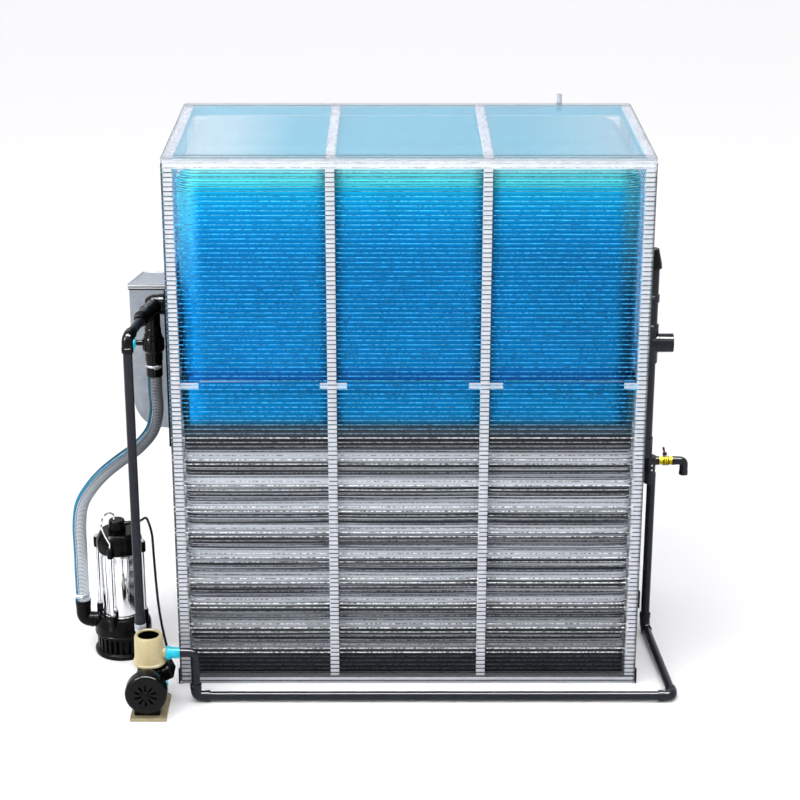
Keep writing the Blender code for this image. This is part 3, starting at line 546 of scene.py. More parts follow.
# %% Plastics and paint
# Powder coat: soft highlights over a faint orange peel.
white_frame = grained(
    surface("white_powder_coat", "frame_white", "#E2E5E9", 0.38, ior=1.52, Specular_IOR_Level=0.3),
    "#DEE1E6", "#D2D6DB", 0.0025, 0.00006, rougher=0.08,
)
# Glossy moulded ABS: deep black with thin, sharp highlights.
black_abs = grained(
    surface("black_moulded_abs", "black_plastic", "#040405", 0.07, ior=1.54, Specular_IOR_Level=0.12),
    "#070708", "#040405", 0.0012, 0.00002, rougher=0.04,
)
# The same plastic from a textured mould: its highlights are wider and duller.
black_cast = grained(
    surface("black_textured_plastic", "black_plastic", "#040405", 0.16, ior=1.54, Specular_IOR_Level=0.08),
    "#070708", "#030304", 0.0016, 0.00005, rougher=0.10,
)
# Extruded PVC-U: smooth and dark, with one long highlight along each pipe.
pipe_grey = grained(
    surface("extruded_grey_pvc", "pipe_grey", "#1A1D24", 0.07, ior=1.53, Specular_IOR_Level=0.16),
    "#1D2028", "#171A20", 0.0014, 0.00002, rougher=0.04,
)
# Moulded plastic, dyed through: an even colour with a soft shine.
teal = grained(
    surface("teal_moulded_plastic", "teal_plastic", "#1FB4CC", 0.28, ior=1.5, Specular_IOR_Level=0.15),
    "#27BFD6", "#17A5BE", 0.0015, 0.00004, rougher=0.10,
)
# Moulded plastic: warm and satin.
beige = grained(
    surface("beige_moulded_plastic", "beige_plastic", "#B8AB83", 0.30, ior=1.5, Specular_IOR_Level=0.2),
    "#BAAD85", "#B3A67E", 0.0014, 0.00002, rougher=0.06,
)
# Plate: a little darker and duller than the pot above it; the darker colour is painted shade under
# the pump.
beige_shaded_plate = grained(
    surface("beige_pressed_plate", "beige_plastic", "#958B6C", 0.34, ior=1.5, Specular_IOR_Level=0.2),
    "#9A9070", "#8B8163", 0.0014, 0.00002, rougher=0.06,
)
# Baked enamel: a thin clear coat puts a sharp sheen on a soft grey.
grey_enamel = grained(
    surface("grey_baked_enamel", "grey_enamel", "#8E959E", 0.30, ior=1.55, Coat_Weight=0.25),
    "#949BA4", "#868D96", 0.0030, 0.00008, rougher=0.10,
)
# Extruded PVC in white: slightly grey beside the frame.
gas_white = grained(
    surface("white_extruded_pvc", "gas_pipe_white", "#9DA2A9", 0.30, ior=1.53, Specular_IOR_Level=0.2),
    "#A2A7AE", "#969BA2", 0.0014, 0.00002,
)
# Dipped vinyl: dark and satin, with soft edges.
red_grip = grained(
    surface("dipped_vinyl_grip", "lever_red_brown", "#380C0B", 0.30, ior=1.5, Specular_IOR_Level=0.15),
    "#3E0E0C", "#2C0908", 0.0012, 0.00003,
)
print("plastics:", sorted(m.name for m in bpy.data.materials if "slot" in m))

# %% Metals
# Drawn and polished: its long light and dark streaks are painted reflections of its surroundings.
steel = surface("drawn_stainless_steel", "polished_steel", "#E6E8EB", 0.10, metallic=1.0)
tree = steel.node_tree
place = node(tree, "TexCoord")
drawn = node(tree, "Mapping", {"Vector": place.outputs["Object"], "Scale": (1, 1, 0.015)})
broad = node(
    tree, "TexNoise", {"Vector": drawn.outputs[0], "Scale": 1 / 0.020, "Detail": 5.0, "Roughness": 0.6}
)
tone = node(
    tree,
    "ValToRGB",
    {0: broad.outputs[0]},
    stops=[
        (0.0, "#0E0F11"), (0.355, "#1C1E21"), (0.385, "#8E9298"), (0.415, "#F4F5F7"),
        (0.57, "#FFFFFF"), (0.60, "#8E939A"), (0.62, "#33363A"), (0.64, "#F0F2F4"),
    ],
)
tree.links.new(tone.outputs[0], tree.nodes["Principled BSDF"].inputs["Base Color"])
# Zinc plate: pale and slightly mottled.
bolt_steel = grained(
    surface("zinc_plated_steel", "polished_steel", "#B9BCC0", 0.30, metallic=1.0),
    "#C4C7CB", "#A2A5AA", 0.0009, 0.00003, rougher=0.12,
)
# Cast brass: bright yellow, with duller patches.
brass = grained(
    surface("bright_cast_brass", "brass", "#B3A31E", 0.30, metallic=1.0),
    "#C0B026", "#8C7A12", 0.0012, 0.00005, rougher=0.12,
)
# Pale trim: two pale satin lines round the lid, standing for painted highlights on its edge.
pale_highlight_trim = surface("bare_aluminium_trim", "polished_steel", "#F2F4F6", 0.35, ior=1.5, Specular_IOR_Level=0.3)
print("metals:", steel.name, bolt_steel.name, brass.name)

# %% [markdown]
# ## Frame
# The posts, rails, poles and the tray are plain square tube, so their solids are already right.
# They only need the powder coat. A shader can be given to a solid without touching its mesh. The
# high inner faces get a painted blue light bounced from the bag, the poles' tops lie under cloth,
# and the tray's colour is darker at its foot, with a painted shade along its ledge. All this
# follows from where a face is and which way it points.

# %% Frame finish
POLE_Z = 1.1265  # middle of the poles that carry the skirts
GLOW_LOW = 1.87  # inner faces above this get a painted blue light bounced from the bag
FRAME_NODES = [
    name
    for name in frame["nodes"] if name.startswith(("post_", "top_rail", "roof_bar", "mid_rail", "base_tray"))
]
for name in FRAME_NODES:
    solid = frame["nodes"][name]
    solid.data.materials.clear()
    solid.data.materials.append(white_frame)
tree = white_frame.node_tree
shader = tree.nodes["Principled BSDF"]
coat = shader.inputs["Base Color"].links[0].from_socket
place = node(tree, "TexCoord")
split = node(tree, "SeparateXYZ", {0: place.outputs["Object"]})
# Painted light: the high inner faces get a blue light bounced from the bag.
flat = node(tree, "VectorMath", {0: place.outputs["Object"], 1: (1, 1, 0)}, operation="MULTIPLY")
outwards = node(tree, "VectorMath", {0: place.outputs["Normal"], 1: flat.outputs[0]}, operation="DOT_PRODUCT")
inner_face = node(tree, "Math", {0: outwards.outputs["Value"], 1: -0.1}, operation="LESS_THAN")
high_face = node(tree, "Math", {0: split.outputs["Z"], 1: GLOW_LOW}, operation="GREATER_THAN")
lit_blue = node(tree, "Math", {0: inner_face.outputs[0], 1: high_face.outputs[0]}, operation="MULTIPLY")
bounced = node(tree, "Mix", {0: lit_blue.outputs[0], 6: coat, 7: "#46ACC8"}, data_type="RGBA")
upward = node(tree, "SeparateXYZ", {0: place.outputs["Normal"]})
level_face = node(tree, "Math", {0: upward.outputs["Z"], 1: 0.5}, operation="GREATER_THAN")
pole_height = node(tree, "Math", {0: split.outputs["Z"], 1: POLE_Z, 2: 0.03}, operation="COMPARE")
under_cloth = node(tree, "Math", {0: level_face.outputs[0], 1: pole_height.outputs[0]}, operation="MULTIPLY")
sleeved = node(
    tree, "Mix", {0: under_cloth.outputs[0], 6: bounced.outputs[2], 7: "#1C6FA8"}, data_type="RGBA"
)
# The tray's colour is darker at its foot, and its ledge carries a painted shade of the sheets.
foot = node(tree, "MapRange", {"Value": split.outputs["Z"], "From Min": 0.0, "From Max": 0.05})
tray_darkening = node(
    tree,
    "ValToRGB",
    {0: foot.outputs[0]},
    stops=[
        (0.0, "#CCCCCC"), (0.22, "#CCCCCC"), (0.26, white), (0.44, white),
        (0.51, "#C0C0C0"), (0.57, "#909090"), (0.62, "#909090"), (0.64, white),
    ],
)
tray_darkened = node(tree, "VectorMath", {0: sleeved.outputs[2], 1: tray_darkening.outputs[0]}, operation="MULTIPLY")
tree.links.new(tray_darkened.outputs[0], shader.inputs["Base Color"])
board = frame["nodes"]["mounting_board"]
board.data.materials.clear()
board.data.materials.append(black_cast)
print("frame pieces:", len(FRAME_NODES))

# %% [markdown]
# ## Clear fluted sheets
# The walls and roof are twin-wall polycarbonate: two clear skins joined by thin ribs. Real glass
# shading would need many bounces and leave the inside dark, so the skins are mostly see-through,
# with a mirror part that grows at grazing angles as it does on polycarbonate (IOR 1.59). Each rib
# is a real plate whose colour holds painted light: over the tank it takes the painted light of the
# bands, over the bag a painted blue light, against the white posts a painted shade, and it carries
# painted glints.

# %% Measures for the sheets' finishes
FLUTE = 0.016  # distance between ribs
RIB = 0.0013  # thickness of a rib
HALF_LONG, HALF_SHORT = 0.81, 0.4187  # half the length of a long and of a short sheet
INNER_X, INNER_Y = 0.7737, 0.3887  # inside faces of the frame
MID_POSTS = ((-0.2742, -0.2442), (0.2442, 0.2742))  # the left and right face of each middle post
BEAM_LOW = 1.8787  # underside of the top rails
SKIRT_TOP, SKIRT_LOW = 1.152, 0.977
BAND_TOP, BAND_PITCH = 0.857, 0.0906  # the tank's painted light bands: the highest one, and their distance
DYE_AND_LIGHT_LOW, DYE_AND_LIGHT_HIGH = 0.98, 1.88  # heights between which the bag's blue and its painted light change
FOOT_HIGH = 0.110  # ribs below this lie over the tank's dark foot
CLOTH_LOW = 0.955  # ribs above this lie over blue cloth
LINES_LOW, LINES_HIGH = 1.786, 1.800  # where the painted lines of light on the bag begin
SHADE_LOW = 1.795  # edges of ribs above this are painted with the roof's shade
print("ribs in a metre:", round(1 / FLUTE, 1))


# %% Finish of the clear skins
def skin_finish(name, haze_share, straight_on, grazing_on):
    """A clear skin: mostly see-through, a little milky, and a mirror at grazing angles."""
    made = bpy.data.materials.new(name)
    made.use_nodes = True
    made["slot"] = "clear_sheet"
    tree = made.node_tree
    tree.nodes.clear()
    clear = node(tree, "BsdfTransparent", {"Color": (0.985, 0.988, 0.992, 1)})
    haze = node(tree, "BsdfPrincipled", {"Base Color": "#E9EEF4", "Roughness": 0.35})
    shine = node(tree, "BsdfGlossy", {"Color": (0.95, 0.97, 1.0, 1), "Roughness": 0.04})
    facing = node(tree, "LayerWeight", {"Blend": 0.5})
    grazing = node(tree, "Math", {0: facing.outputs["Facing"], 1: 5.0}, operation="POWER")
    mirror = node(
        tree, "MapRange", {"Value": grazing.outputs[0], "To Min": straight_on, "To Max": grazing_on}
    )
    hazed = node(tree, "MixShader", {0: haze_share, 1: clear.outputs[0], 2: haze.outputs[0]})
    glossed = node(tree, "MixShader", {0: mirror.outputs[0], 1: hazed.outputs[0], 2: shine.outputs[0]})
    node(tree, "OutputMaterial", {"Surface": glossed.outputs[0]})
    return made


print("helper ready:", skin_finish.__name__)


# %% Finish of the ribs
def ribs_finish(name, axis, frame_spans, half):
    """Ribs with painted shade over the white frame, and painted light of the bag or tank elsewhere."""
    made = surface(name, "clear_sheet", "#FFFFFF", 0.3, ior=1.59, Specular_IOR_Level=0.2)
    tree = made.node_tree
    shader = tree.nodes["Principled BSDF"]
    place = node(tree, "TexCoord")
    split = node(tree, "SeparateXYZ", {0: place.outputs["Object"]})
    across = node(tree, "MapRange", {"Value": split.outputs[axis], "From Min": -half, "From Max": half})
    spans = [(0.0, black)]
    for low, high in frame_spans:
        spans += [((low + half) / (2 * half), white), ((high + half) / (2 * half), black)]
    on_post = node(tree, "ValToRGB", {0: across.outputs[0]}, stops=spans)
    on_post.color_ramp.interpolation = "CONSTANT"
    on_beam = node(tree, "Math", {0: split.outputs["Z"], 1: BEAM_LOW}, operation="GREATER_THAN")
    # Over the tank the ribs carry the painted light of its bands, and are darker over its foot.
    bands = node(tree, "Math", {0: split.outputs["Z"], 1: BAND_TOP}, operation="SUBTRACT")
    turns = node(tree, "Math", {0: bands.outputs[0], 1: 2 * math.pi / BAND_PITCH}, operation="MULTIPLY")
    wave = node(tree, "Math", {0: turns.outputs[0]}, operation="COSINE")
    bright = node(tree, "MapRange", {"Value": wave.outputs[0], "From Min": -0.3, "From Max": 0.9})
    grey = node(tree, "Mix", {0: bright.outputs[0], 6: "#7C8188", 7: "#FFFFFF"}, data_type="RGBA")
    lowest = node(tree, "Math", {0: split.outputs["Z"], 1: FOOT_HIGH}, operation="LESS_THAN")
    darker_over_foot = node(tree, "Mix", {0: lowest.outputs[0], 6: grey.outputs[2], 7: "#3E4248"}, data_type="RGBA")
    # Over the bag the ribs carry a painted blue light from it, palest under the roof.
    rise = node(tree, "MapRange", {"Value": split.outputs["Z"], "From Min": DYE_AND_LIGHT_LOW, "From Max": DYE_AND_LIGHT_HIGH})
    blue_light_on_ribs = node(
        tree,
        "ValToRGB",
        {0: rise.outputs[0]},
        stops=[
            (0.0, "#6F9FB8"), (0.05, "#3EBCF4"), (0.62, "#34BAF6"), (0.90, "#4CD2FA"),
            (0.93, "#A8FCFF"), (1.0, "#BCFFFF"),
        ],
    )
    over_bag = node(tree, "Math", {0: split.outputs["Z"], 1: CLOTH_LOW}, operation="GREATER_THAN")
    lit = node(
        tree, "Mix", {0: over_bag.outputs[0], 6: darker_over_foot.outputs[2], 7: blue_light_on_ribs.outputs[0]}, data_type="RGBA"
    )
    # The plastic really sparkles at under 1 mm. These painted glints of 8 mm are the finest that show.
    glints = node(tree, "TexNoise", {"Vector": place.outputs["Object"], "Scale": 1 / 0.008, "Detail": 1.0})
    glint = node(
        tree,
        "MapRange",
        {"Value": glints.outputs[0], "From Min": 0.38, "From Max": 0.62, "To Min": 0.22, "To Max": 1.32},
    )
    sparkling = node(tree, "VectorMath", {0: lit.outputs[2], "Scale": glint.outputs[0]}, operation="SCALE")
    # High up, the ribs' front edges are painted with the roof's shade.
    normal = node(tree, "SeparateXYZ", {0: place.outputs["Normal"]})
    edge_on = node(tree, "Math", {0: normal.outputs["Z"], 1: 0.5}, operation="LESS_THAN")
    near_top = node(tree, "Math", {0: split.outputs["Z"], 1: SHADE_LOW}, operation="GREATER_THAN")
    shaded = node(tree, "Math", {0: edge_on.outputs[0], 1: near_top.outputs[0]}, operation="MULTIPLY")
    edged = node(
        tree, "Mix", {0: shaded.outputs[0], 6: sparkling.outputs[0], 7: "#0B4C62"}, data_type="RGBA"
    )
    # Over the posts the ribs are painted dark as shade, and over the top beam in grey and white glints.
    patchy = node(tree, "MapRange", {"Value": glints.outputs[0], "From Min": 0.38, "From Max": 0.62})
    tick = node(
        tree, "Mix", {0: patchy.outputs[0], 6: "#08090A", 7: "#565C64"}, data_type="RGBA"
    )
    over_white = node(
        tree, "Mix", {0: patchy.outputs[0], 6: "#7F8890", 7: "#F6FAFC"}, data_type="RGBA"
    )
    posts = node(
        tree, "Mix", {0: on_post.outputs[0], 6: edged.outputs[2], 7: tick.outputs[2]}, data_type="RGBA"
    )
    tone = node(
        tree, "Mix", {0: on_beam.outputs[0], 6: posts.outputs[2], 7: over_white.outputs[2]}, data_type="RGBA"
    )
    tree.links.new(tone.outputs[2], shader.inputs["Base Color"])
    solid = node(tree, "MapRange", {"Value": on_beam.outputs[0], "To Min": 0.86, "To Max": 0.55})
    tree.links.new(solid.outputs[0], shader.inputs["Alpha"])
    return made


print("helper ready:", ribs_finish.__name__)

# %% Skins and ribs of the walls
wall_skin = skin_finish("clear_polycarbonate_wall", 0.001, 0.001, 0.45)
roof_skin = skin_finish("clear_polycarbonate_roof", 0.012, 0.01, 0.36)
long_spans = ((-HALF_LONG, -INNER_X), *MID_POSTS, (INNER_X, HALF_LONG))
short_spans = ((-HALF_SHORT, -INNER_Y), (INNER_Y, HALF_SHORT))
long_ribs = ribs_finish("polycarbonate_ribs_long_sides", "X", long_spans, HALF_LONG)
short_ribs = ribs_finish("polycarbonate_ribs_short_sides", "Y", short_spans, HALF_SHORT)
print("wall finishes:", wall_skin.name, long_ribs.name, short_ribs.name)

# %% Ribs of the roof
# The roof's ribs are see-through, with a painted bluish light over the bag, and denser and greyer
# over the bars.
roof_ribs = surface(
    "polycarbonate_roof_ribs", "clear_sheet", "#C9DCE8", 0.3, ior=1.59, Specular_IOR_Level=0.2
)
tree = roof_ribs.node_tree
shader = tree.nodes["Principled BSDF"]
place = node(tree, "TexCoord")
split = node(tree, "SeparateXYZ", {0: place.outputs["Object"]})
across = node(tree, "MapRange", {"Value": split.outputs["X"], "From Min": -HALF_LONG, "From Max": HALF_LONG})
over_bars = node(
    tree,
    "ValToRGB",
    {0: across.outputs[0]},
    stops=[
        (0.0, white), (0.022, black), (0.329, white), (0.350, black), (0.650, white), (0.671, black),
        (0.978, white),
    ],
)
over_bars.color_ramp.interpolation = "CONSTANT"
dots = node(tree, "TexNoise", {"Vector": place.outputs["Object"], "Scale": 1 / 0.007, "Detail": 1.0})
dot = node(
    tree, "MapRange",
    {"Value": dots.outputs[0], "From Min": 0.3, "From Max": 0.7, "To Min": 0.72, "To Max": 1.14},
)
tone = node(
    tree, "Mix", {0: over_bars.outputs[0], 6: "#9CC2D2", 7: "#BFC3CB"}, data_type="RGBA"
)
dotted = node(tree, "VectorMath", {0: tone.outputs[2], "Scale": dot.outputs[0]}, operation="SCALE")
tree.links.new(dotted.outputs[0], shader.inputs["Base Color"])
solid = node(tree, "MapRange", {"Value": over_bars.outputs[0], "To Min": 0.20, "To Max": 0.40})
tree.links.new(solid.outputs[0], shader.inputs["Alpha"])
print("roof finishes:", roof_skin.name, roof_ribs.name)

# %% Edges of the sheets
# The flutes' open ends in two painted copies: dark where they look into shade, pale where they look
# into light.
flute_mouth = grained(
    surface("shaded_flute_mouths", "clear_sheet", "#4C5258", 0.4, ior=1.59, Alpha=0.75),
    "#565C62", "#3E444A", 0.003, 0.00002,
)
lit_flute_mouth = grained(
    surface("lit_flute_mouths", "clear_sheet", "#B4B9C0", 0.4, ior=1.59, Alpha=0.9),
    "#D0D4DA", "#8C9299", 0.004, 0.00002,
)
# A rubber seal: dark and satin along the roof's edges.
dark_seal = surface("dark_edge_seal", "clear_sheet", "#23272B", 0.4, ior=1.5)


# %% Clear fluted sheets
def boxes_mesh(name, corners):
    """One mesh of many separate boxes, each given by its lowest and highest corner."""
    points, faces = [], []
    for start, end in corners:
        at = len(points)
        level = ((start.x, start.y), (end.x, start.y), (end.x, end.y), (start.x, end.y))
        points += [(x, y, z) for z in (start.z, end.z) for x, y in level]
        sides = ((3, 2, 1, 0), (4, 5, 6, 7), (0, 1, 5, 4), (1, 2, 6, 5), (2, 3, 7, 6), (3, 0, 4, 7))
        faces += [tuple(at + corner for corner in side) for side in sides]
    mesh = bpy.data.meshes.new(name)
    mesh.from_pydata(points, [], faces)
    return mesh


print("edge finishes:", flute_mouth.name, lit_flute_mouth.name, dark_seal.name)


# %% Helper for a fluted sheet
def fluted_sheet(side, stack, skin, ribs, mouth=flute_mouth):
    """Two clear skins over a node's box, with a rib every flute and the flutes' open ends."""
    low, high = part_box("sheet_" + side)
    size = [high[axis] - low[axis] for axis in range(3)]
    thin = size.index(min(size))
    along = 3 - thin - stack
    block(f"sheet_{side}_skins", low, high, skin, stands_for="sheet_" + side, bevel=0.0)
    count = int(size[stack] / FLUTE)
    first = low[stack] + (size[stack] - (count - 1) * FLUTE) / 2
    plates, mouths = [], []
    for number in range(count):
        start, end = Vector(low), Vector(high)
        start[thin] += 0.0003
        end[thin] -= 0.0003
        start[stack] = first + number * FLUTE - RIB / 2
        end[stack] = start[stack] + RIB
        plates.append((start, end))
        if number + 1 < count:
            for near, far in (
                (low[along] + 0.0003, low[along] + 0.0028), (high[along] - 0.0028, high[along] - 0.0003)
            ):
                start, end = Vector(low), Vector(high)
                start[thin] += 0.0010
                end[thin] -= 0.0010
                start[stack] = first + number * FLUTE + RIB
                end[stack] = first + (number + 1) * FLUTE - RIB
                start[along] = near
                end[along] = far
                mouths.append((start, end))
    piece(f"sheet_{side}_ribs", boxes_mesh(f"sheet_{side}_ribs", plates), ribs)
    piece(f"sheet_{side}_mouths", boxes_mesh(f"sheet_{side}_mouths", mouths), mouth)
    return count


for side in ("front", "back"):
    print("sheet", side, "has", fluted_sheet(side, 2, wall_skin, long_ribs), "ribs")
print("sheet left has", fluted_sheet("left", 2, wall_skin, short_ribs), "ribs")
print("sheet right has", fluted_sheet("right", 2, wall_skin, short_ribs, lit_flute_mouth), "ribs")
print("roof has", fluted_sheet("roof", 1, roof_skin, roof_ribs), "ribs")

low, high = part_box("sheet_roof")
seals = []
for near in (low[1] + 0.0003, high[1] - 0.0015):
    for bottom in (low[2] + 0.0003, high[2] - 0.0013):
        start, end = Vector(low), Vector(high)
        start.x, end.x = low[0] + 0.004, high[0] - 0.004
        start.y, end.y = near, near + 0.0012
        start.z, end.z = bottom, bottom + 0.0010
        seals.append((start, end))
for y in (-0.3955, -0.3650, 0.3955):  # seams over the front rail, and one over the back rail
    start = Vector((low[0] + 0.004, y - 0.0011, low[2] + 0.0012))
    end = Vector((high[0] - 0.004, y + 0.0011, low[2] + 0.0042))
    seals.append((start, end))
piece("sheet_roof_seals", boxes_mesh("sheet_roof_seals", seals), dark_seal)
print("roof edge seals:", len(seals))

# %% [markdown]
# ## Tank and gas bag
# Both are coated fabric. The tank is filled, so it presses flat and dark against the frame, with
# painted light streaks where its level creases catch the light. The bag above it is blown up: it
# rounds off at its corners and edges, and swells a little between the posts. Stacked rounded
# rectangles give both, and the swelling is a small outward push that dies away at the posts. The
# bag's blue carries painted light: lighter near the roof and pale on top, with a painted shade
# beside the posts.

# %% Blue dye and painted light of the membranes
# Coated fabric: saturated and satin. Its threads are really under 1 mm apart, drawn here at 4 mm.
blue_membrane = surface(
    "blue_coated_fabric", "blue_membrane", "#0870AB", 0.50, ior=1.5, Specular_IOR_Level=0.03
)
tree = blue_membrane.node_tree
shader = tree.nodes["Principled BSDF"]
place = node(tree, "TexCoord")
split = node(tree, "SeparateXYZ", {0: place.outputs["Object"]})
rise = node(tree, "MapRange", {"Value": split.outputs["Z"], "From Min": DYE_AND_LIGHT_LOW, "From Max": DYE_AND_LIGHT_HIGH})
# Painted light and shade: the blue lightens towards the roof, with a painted shade at the skirt's hem and a
# painted shade band where the bag's lower edge curls under.
dye_and_roof_light = node(
    tree,
    "ValToRGB",
    {0: rise.outputs[0]},
    stops=[
        (0.0, "#155C80"), (0.012, "#0A6A9C"), (0.03, "#0074AE"), (0.17, "#0074AE"),
        (0.178, "#08529A"), (0.205, "#085CA2"), (0.23, "#0072AF"), (0.66, "#0076B2"),
        (0.73, "#007FBE"), (0.825, "#008CC8"), (0.895, "#069FD4"), (0.915, "#14ACD4"),
        (0.93, "#3CC0D0"), (0.965, "#5CD6E0"), (0.985, "#9AECEF"),
    ],
)
print("the blue changes over", len(dye_and_roof_light.color_ramp.elements), "heights")

# %% Painted pale light on top of the bag
facing_up = node(tree, "SeparateXYZ", {0: place.outputs["Normal"]})
level_top = node(tree, "MapRange", {"Value": facing_up.outputs["Z"], "From Min": 0.86, "From Max": 0.98})
inward = node(tree, "MapRange", {"Value": split.outputs["Y"], "From Min": -0.35, "From Max": -0.33})
high_up = node(tree, "Math", {0: split.outputs["Z"], 1: 1.80}, operation="GREATER_THAN")
upward = node(tree, "MapRange", {"Value": facing_up.outputs["Z"], "From Min": 0.25, "From Max": 0.45})
inside_edge = node(tree, "Math", {0: inward.outputs[0], 1: high_up.outputs[0]}, operation="MULTIPLY")
behind = node(tree, "Math", {0: inside_edge.outputs[0], 1: upward.outputs[0]}, operation="MULTIPLY")
on_top = node(tree, "Math", {0: level_top.outputs[0], 1: behind.outputs[0]}, operation="MAXIMUM")
sideways = node(tree, "MapRange", {"Value": split.outputs["X"], "From Min": -INNER_X, "From Max": INNER_X})
top_colour = node(
    tree,
    "ValToRGB",
    {0: sideways.outputs[0]},
    stops=[
        (0.0, "#CCCBD0"), (0.10, "#B8C6CD"), (0.24, "#3C9CB6"), (0.76, "#3099B4"),
        (0.90, "#77A6B8"), (1.0, "#9CA8B6"),
    ],
)
top_lit = node(
    tree, "Mix", {0: on_top.outputs[0], 6: dye_and_roof_light.outputs[0], 7: top_colour.outputs[0]}, data_type="RGBA"
)
print("the top has", len(top_colour.color_ramp.elements), "colours from side to side")

# %% Painted shade beside the posts
# Painted shade beside each post, lighter at the bag's left end and darkest at its right end.
shaded_at_posts = node(
    tree,
    "ValToRGB",
    {0: sideways.outputs[0]},
    stops=[
        (0.0, "#FFFFFF"), (0.022, "#F4F4F4"), (0.060, "#BEBEBE"), (0.300, "#B8B8B8"),
        (0.325, "#707070"), (0.342, "#707070"), (0.362, "#B8B8B8"), (0.633, "#B6B6B6"),
        (0.658, "#707070"), (0.675, "#707070"), (0.695, "#B6B6B6"), (0.948, "#B0B0B0"),
        (0.968, "#707070"), (1.0, "#484848"),
    ],
)
faced = node(tree, "Math", {0: facing_up.outputs["Y"]}, operation="ABSOLUTE")
turned_away = node(
    tree, "MapRange",
    {"Value": faced.outputs[0], "From Min": 0.3, "From Max": 0.7, "To Min": 1.0, "To Max": 0.0}
)
unshaded = node(tree, "Math", {0: turned_away.outputs[0], 1: on_top.outputs[0]}, operation="MAXIMUM")
fading = node(
    tree, "Mix", {0: unshaded.outputs[0], 6: shaded_at_posts.outputs[0], 7: "#BEBEBE"}, data_type="RGBA"
)
dimmed = node(tree, "VectorMath", {0: top_lit.outputs[2], 1: fading.outputs[2]}, operation="MULTIPLY")
# The bag's front corners carry a painted light from the roof, the left one more than the right one.
corners = node(
    tree,
    "ValToRGB",
    {0: sideways.outputs[0]},
    stops=[
        (0.0, white), (0.020, white), (0.052, black), (0.950, black), (0.974, "#9A9A9A"), (1.0, "#9A9A9A"),
    ],
)
in_front = node(tree, "MapRange", {"Value": split.outputs["Y"], "From Min": -0.300, "From Max": -0.350})
below_roof = node(tree, "MapRange", {"Value": split.outputs["Z"], "From Min": 1.40, "From Max": 1.80})
at_corner = node(tree, "Math", {0: corners.outputs[0], 1: in_front.outputs[0]}, operation="MULTIPLY")
beside_top = node(tree, "Math", {0: 1.0, 1: on_top.outputs[0]}, operation="SUBTRACT")
low_enough = node(tree, "Math", {0: below_roof.outputs[0], 1: beside_top.outputs[0]}, operation="MULTIPLY")
corner_light = node(tree, "Math", {0: at_corner.outputs[0], 1: low_enough.outputs[0]}, operation="MULTIPLY")
cornered = node(tree, "Mix", {0: corner_light.outputs[0], 6: dimmed.outputs[0], 7: "#4CA1B4"}, data_type="RGBA")
# Under the roof, painted level lines of light and shade stand for the light falling through the
# sheet's ribs, two a flute.
turns = node(tree, "Math", {0: split.outputs["Z"], 1: 4 * math.pi / FLUTE}, operation="MULTIPLY")
line = node(tree, "Math", {0: turns.outputs[0]}, operation="COSINE")
near_roof = node(
    tree, "MapRange", {"Value": split.outputs["Z"], "From Min": LINES_LOW, "From Max": LINES_HIGH}
)
drawn = node(tree, "Math", {0: near_roof.outputs[0], 1: beside_top.outputs[0]}, operation="MULTIPLY")
lined = node(tree, "Math", {0: line.outputs[0], 1: drawn.outputs[0]}, operation="MULTIPLY")
lines = node(tree, "MapRange", {"Value": lined.outputs[0], "From Min": -1.0, "To Min": 0.56, "To Max": 1.72})
ruled = node(tree, "VectorMath", {0: cornered.outputs[2], "Scale": lines.outputs[0]}, operation="SCALE")
print("nodes in the blue so far:", len(tree.nodes))

# %% Weave of the blue fabric
yarn = node(tree, "TexVoronoi", {"Vector": place.outputs["Object"], "Scale": 1 / 0.004})
soft = node(tree, "TexNoise", {"Vector": place.outputs["Object"], "Scale": 6.0, "Detail": 4.0})
tint = node(
    tree, "MapRange",
    {"Value": soft.outputs[0], "From Min": 0.3, "From Max": 0.7, "To Min": 1.60, "To Max": 1.80},
)
varied = node(tree, "VectorMath", {0: ruled.outputs[0], "Scale": tint.outputs[0]}, operation="SCALE")
tree.links.new(varied.outputs[0], shader.inputs["Base Color"])
cloth = node(tree, "Bump", {"Height": yarn.outputs[0], "Strength": 0.25, "Distance": 0.0002})
tree.links.new(cloth.outputs[0], shader.inputs["Normal"])
print("blue fabric has", len(tree.nodes), "nodes")

# %% Painted light streaks of the dark fabric
# The same fabric in near black: level streaks, 6 mm high, carry painted highlights in bands.
dark_membrane = surface(
    "dark_coated_fabric", "dark_membrane", "#1A1C1F", 0.45, ior=1.5, Specular_IOR_Level=0.15
)
tree = dark_membrane.node_tree
shader = tree.nodes["Principled BSDF"]
place = node(tree, "TexCoord")
split = node(tree, "SeparateXYZ", {0: place.outputs["Object"]})
streaks = node(tree, "Mapping", {"Vector": place.outputs["Object"], "Scale": (0.25, 0.25, 170.0)})
fine = node(tree, "TexNoise", {"Vector": streaks.outputs[0], "Scale": 1.0, "Detail": 3.0, "Roughness": 0.65})
bands = node(tree, "Math", {0: split.outputs["Z"], 1: BAND_TOP}, operation="SUBTRACT")
turns = node(tree, "Math", {0: bands.outputs[0], 1: 2 * math.pi / BAND_PITCH}, operation="MULTIPLY")
band = node(tree, "Math", {0: turns.outputs[0]}, operation="COSINE")
swell = node(
    tree, "MapRange", {"Value": band.outputs[0], "From Min": -0.25, "To Min": -0.045, "To Max": 0.120}
)
both = node(tree, "Math", {0: fine.outputs[0], 1: swell.outputs[0]}, operation="ADD")
wear_and_streak_light = node(tree, "MapRange", {"Value": both.outputs[0], "From Min": 0.465, "From Max": 0.585})
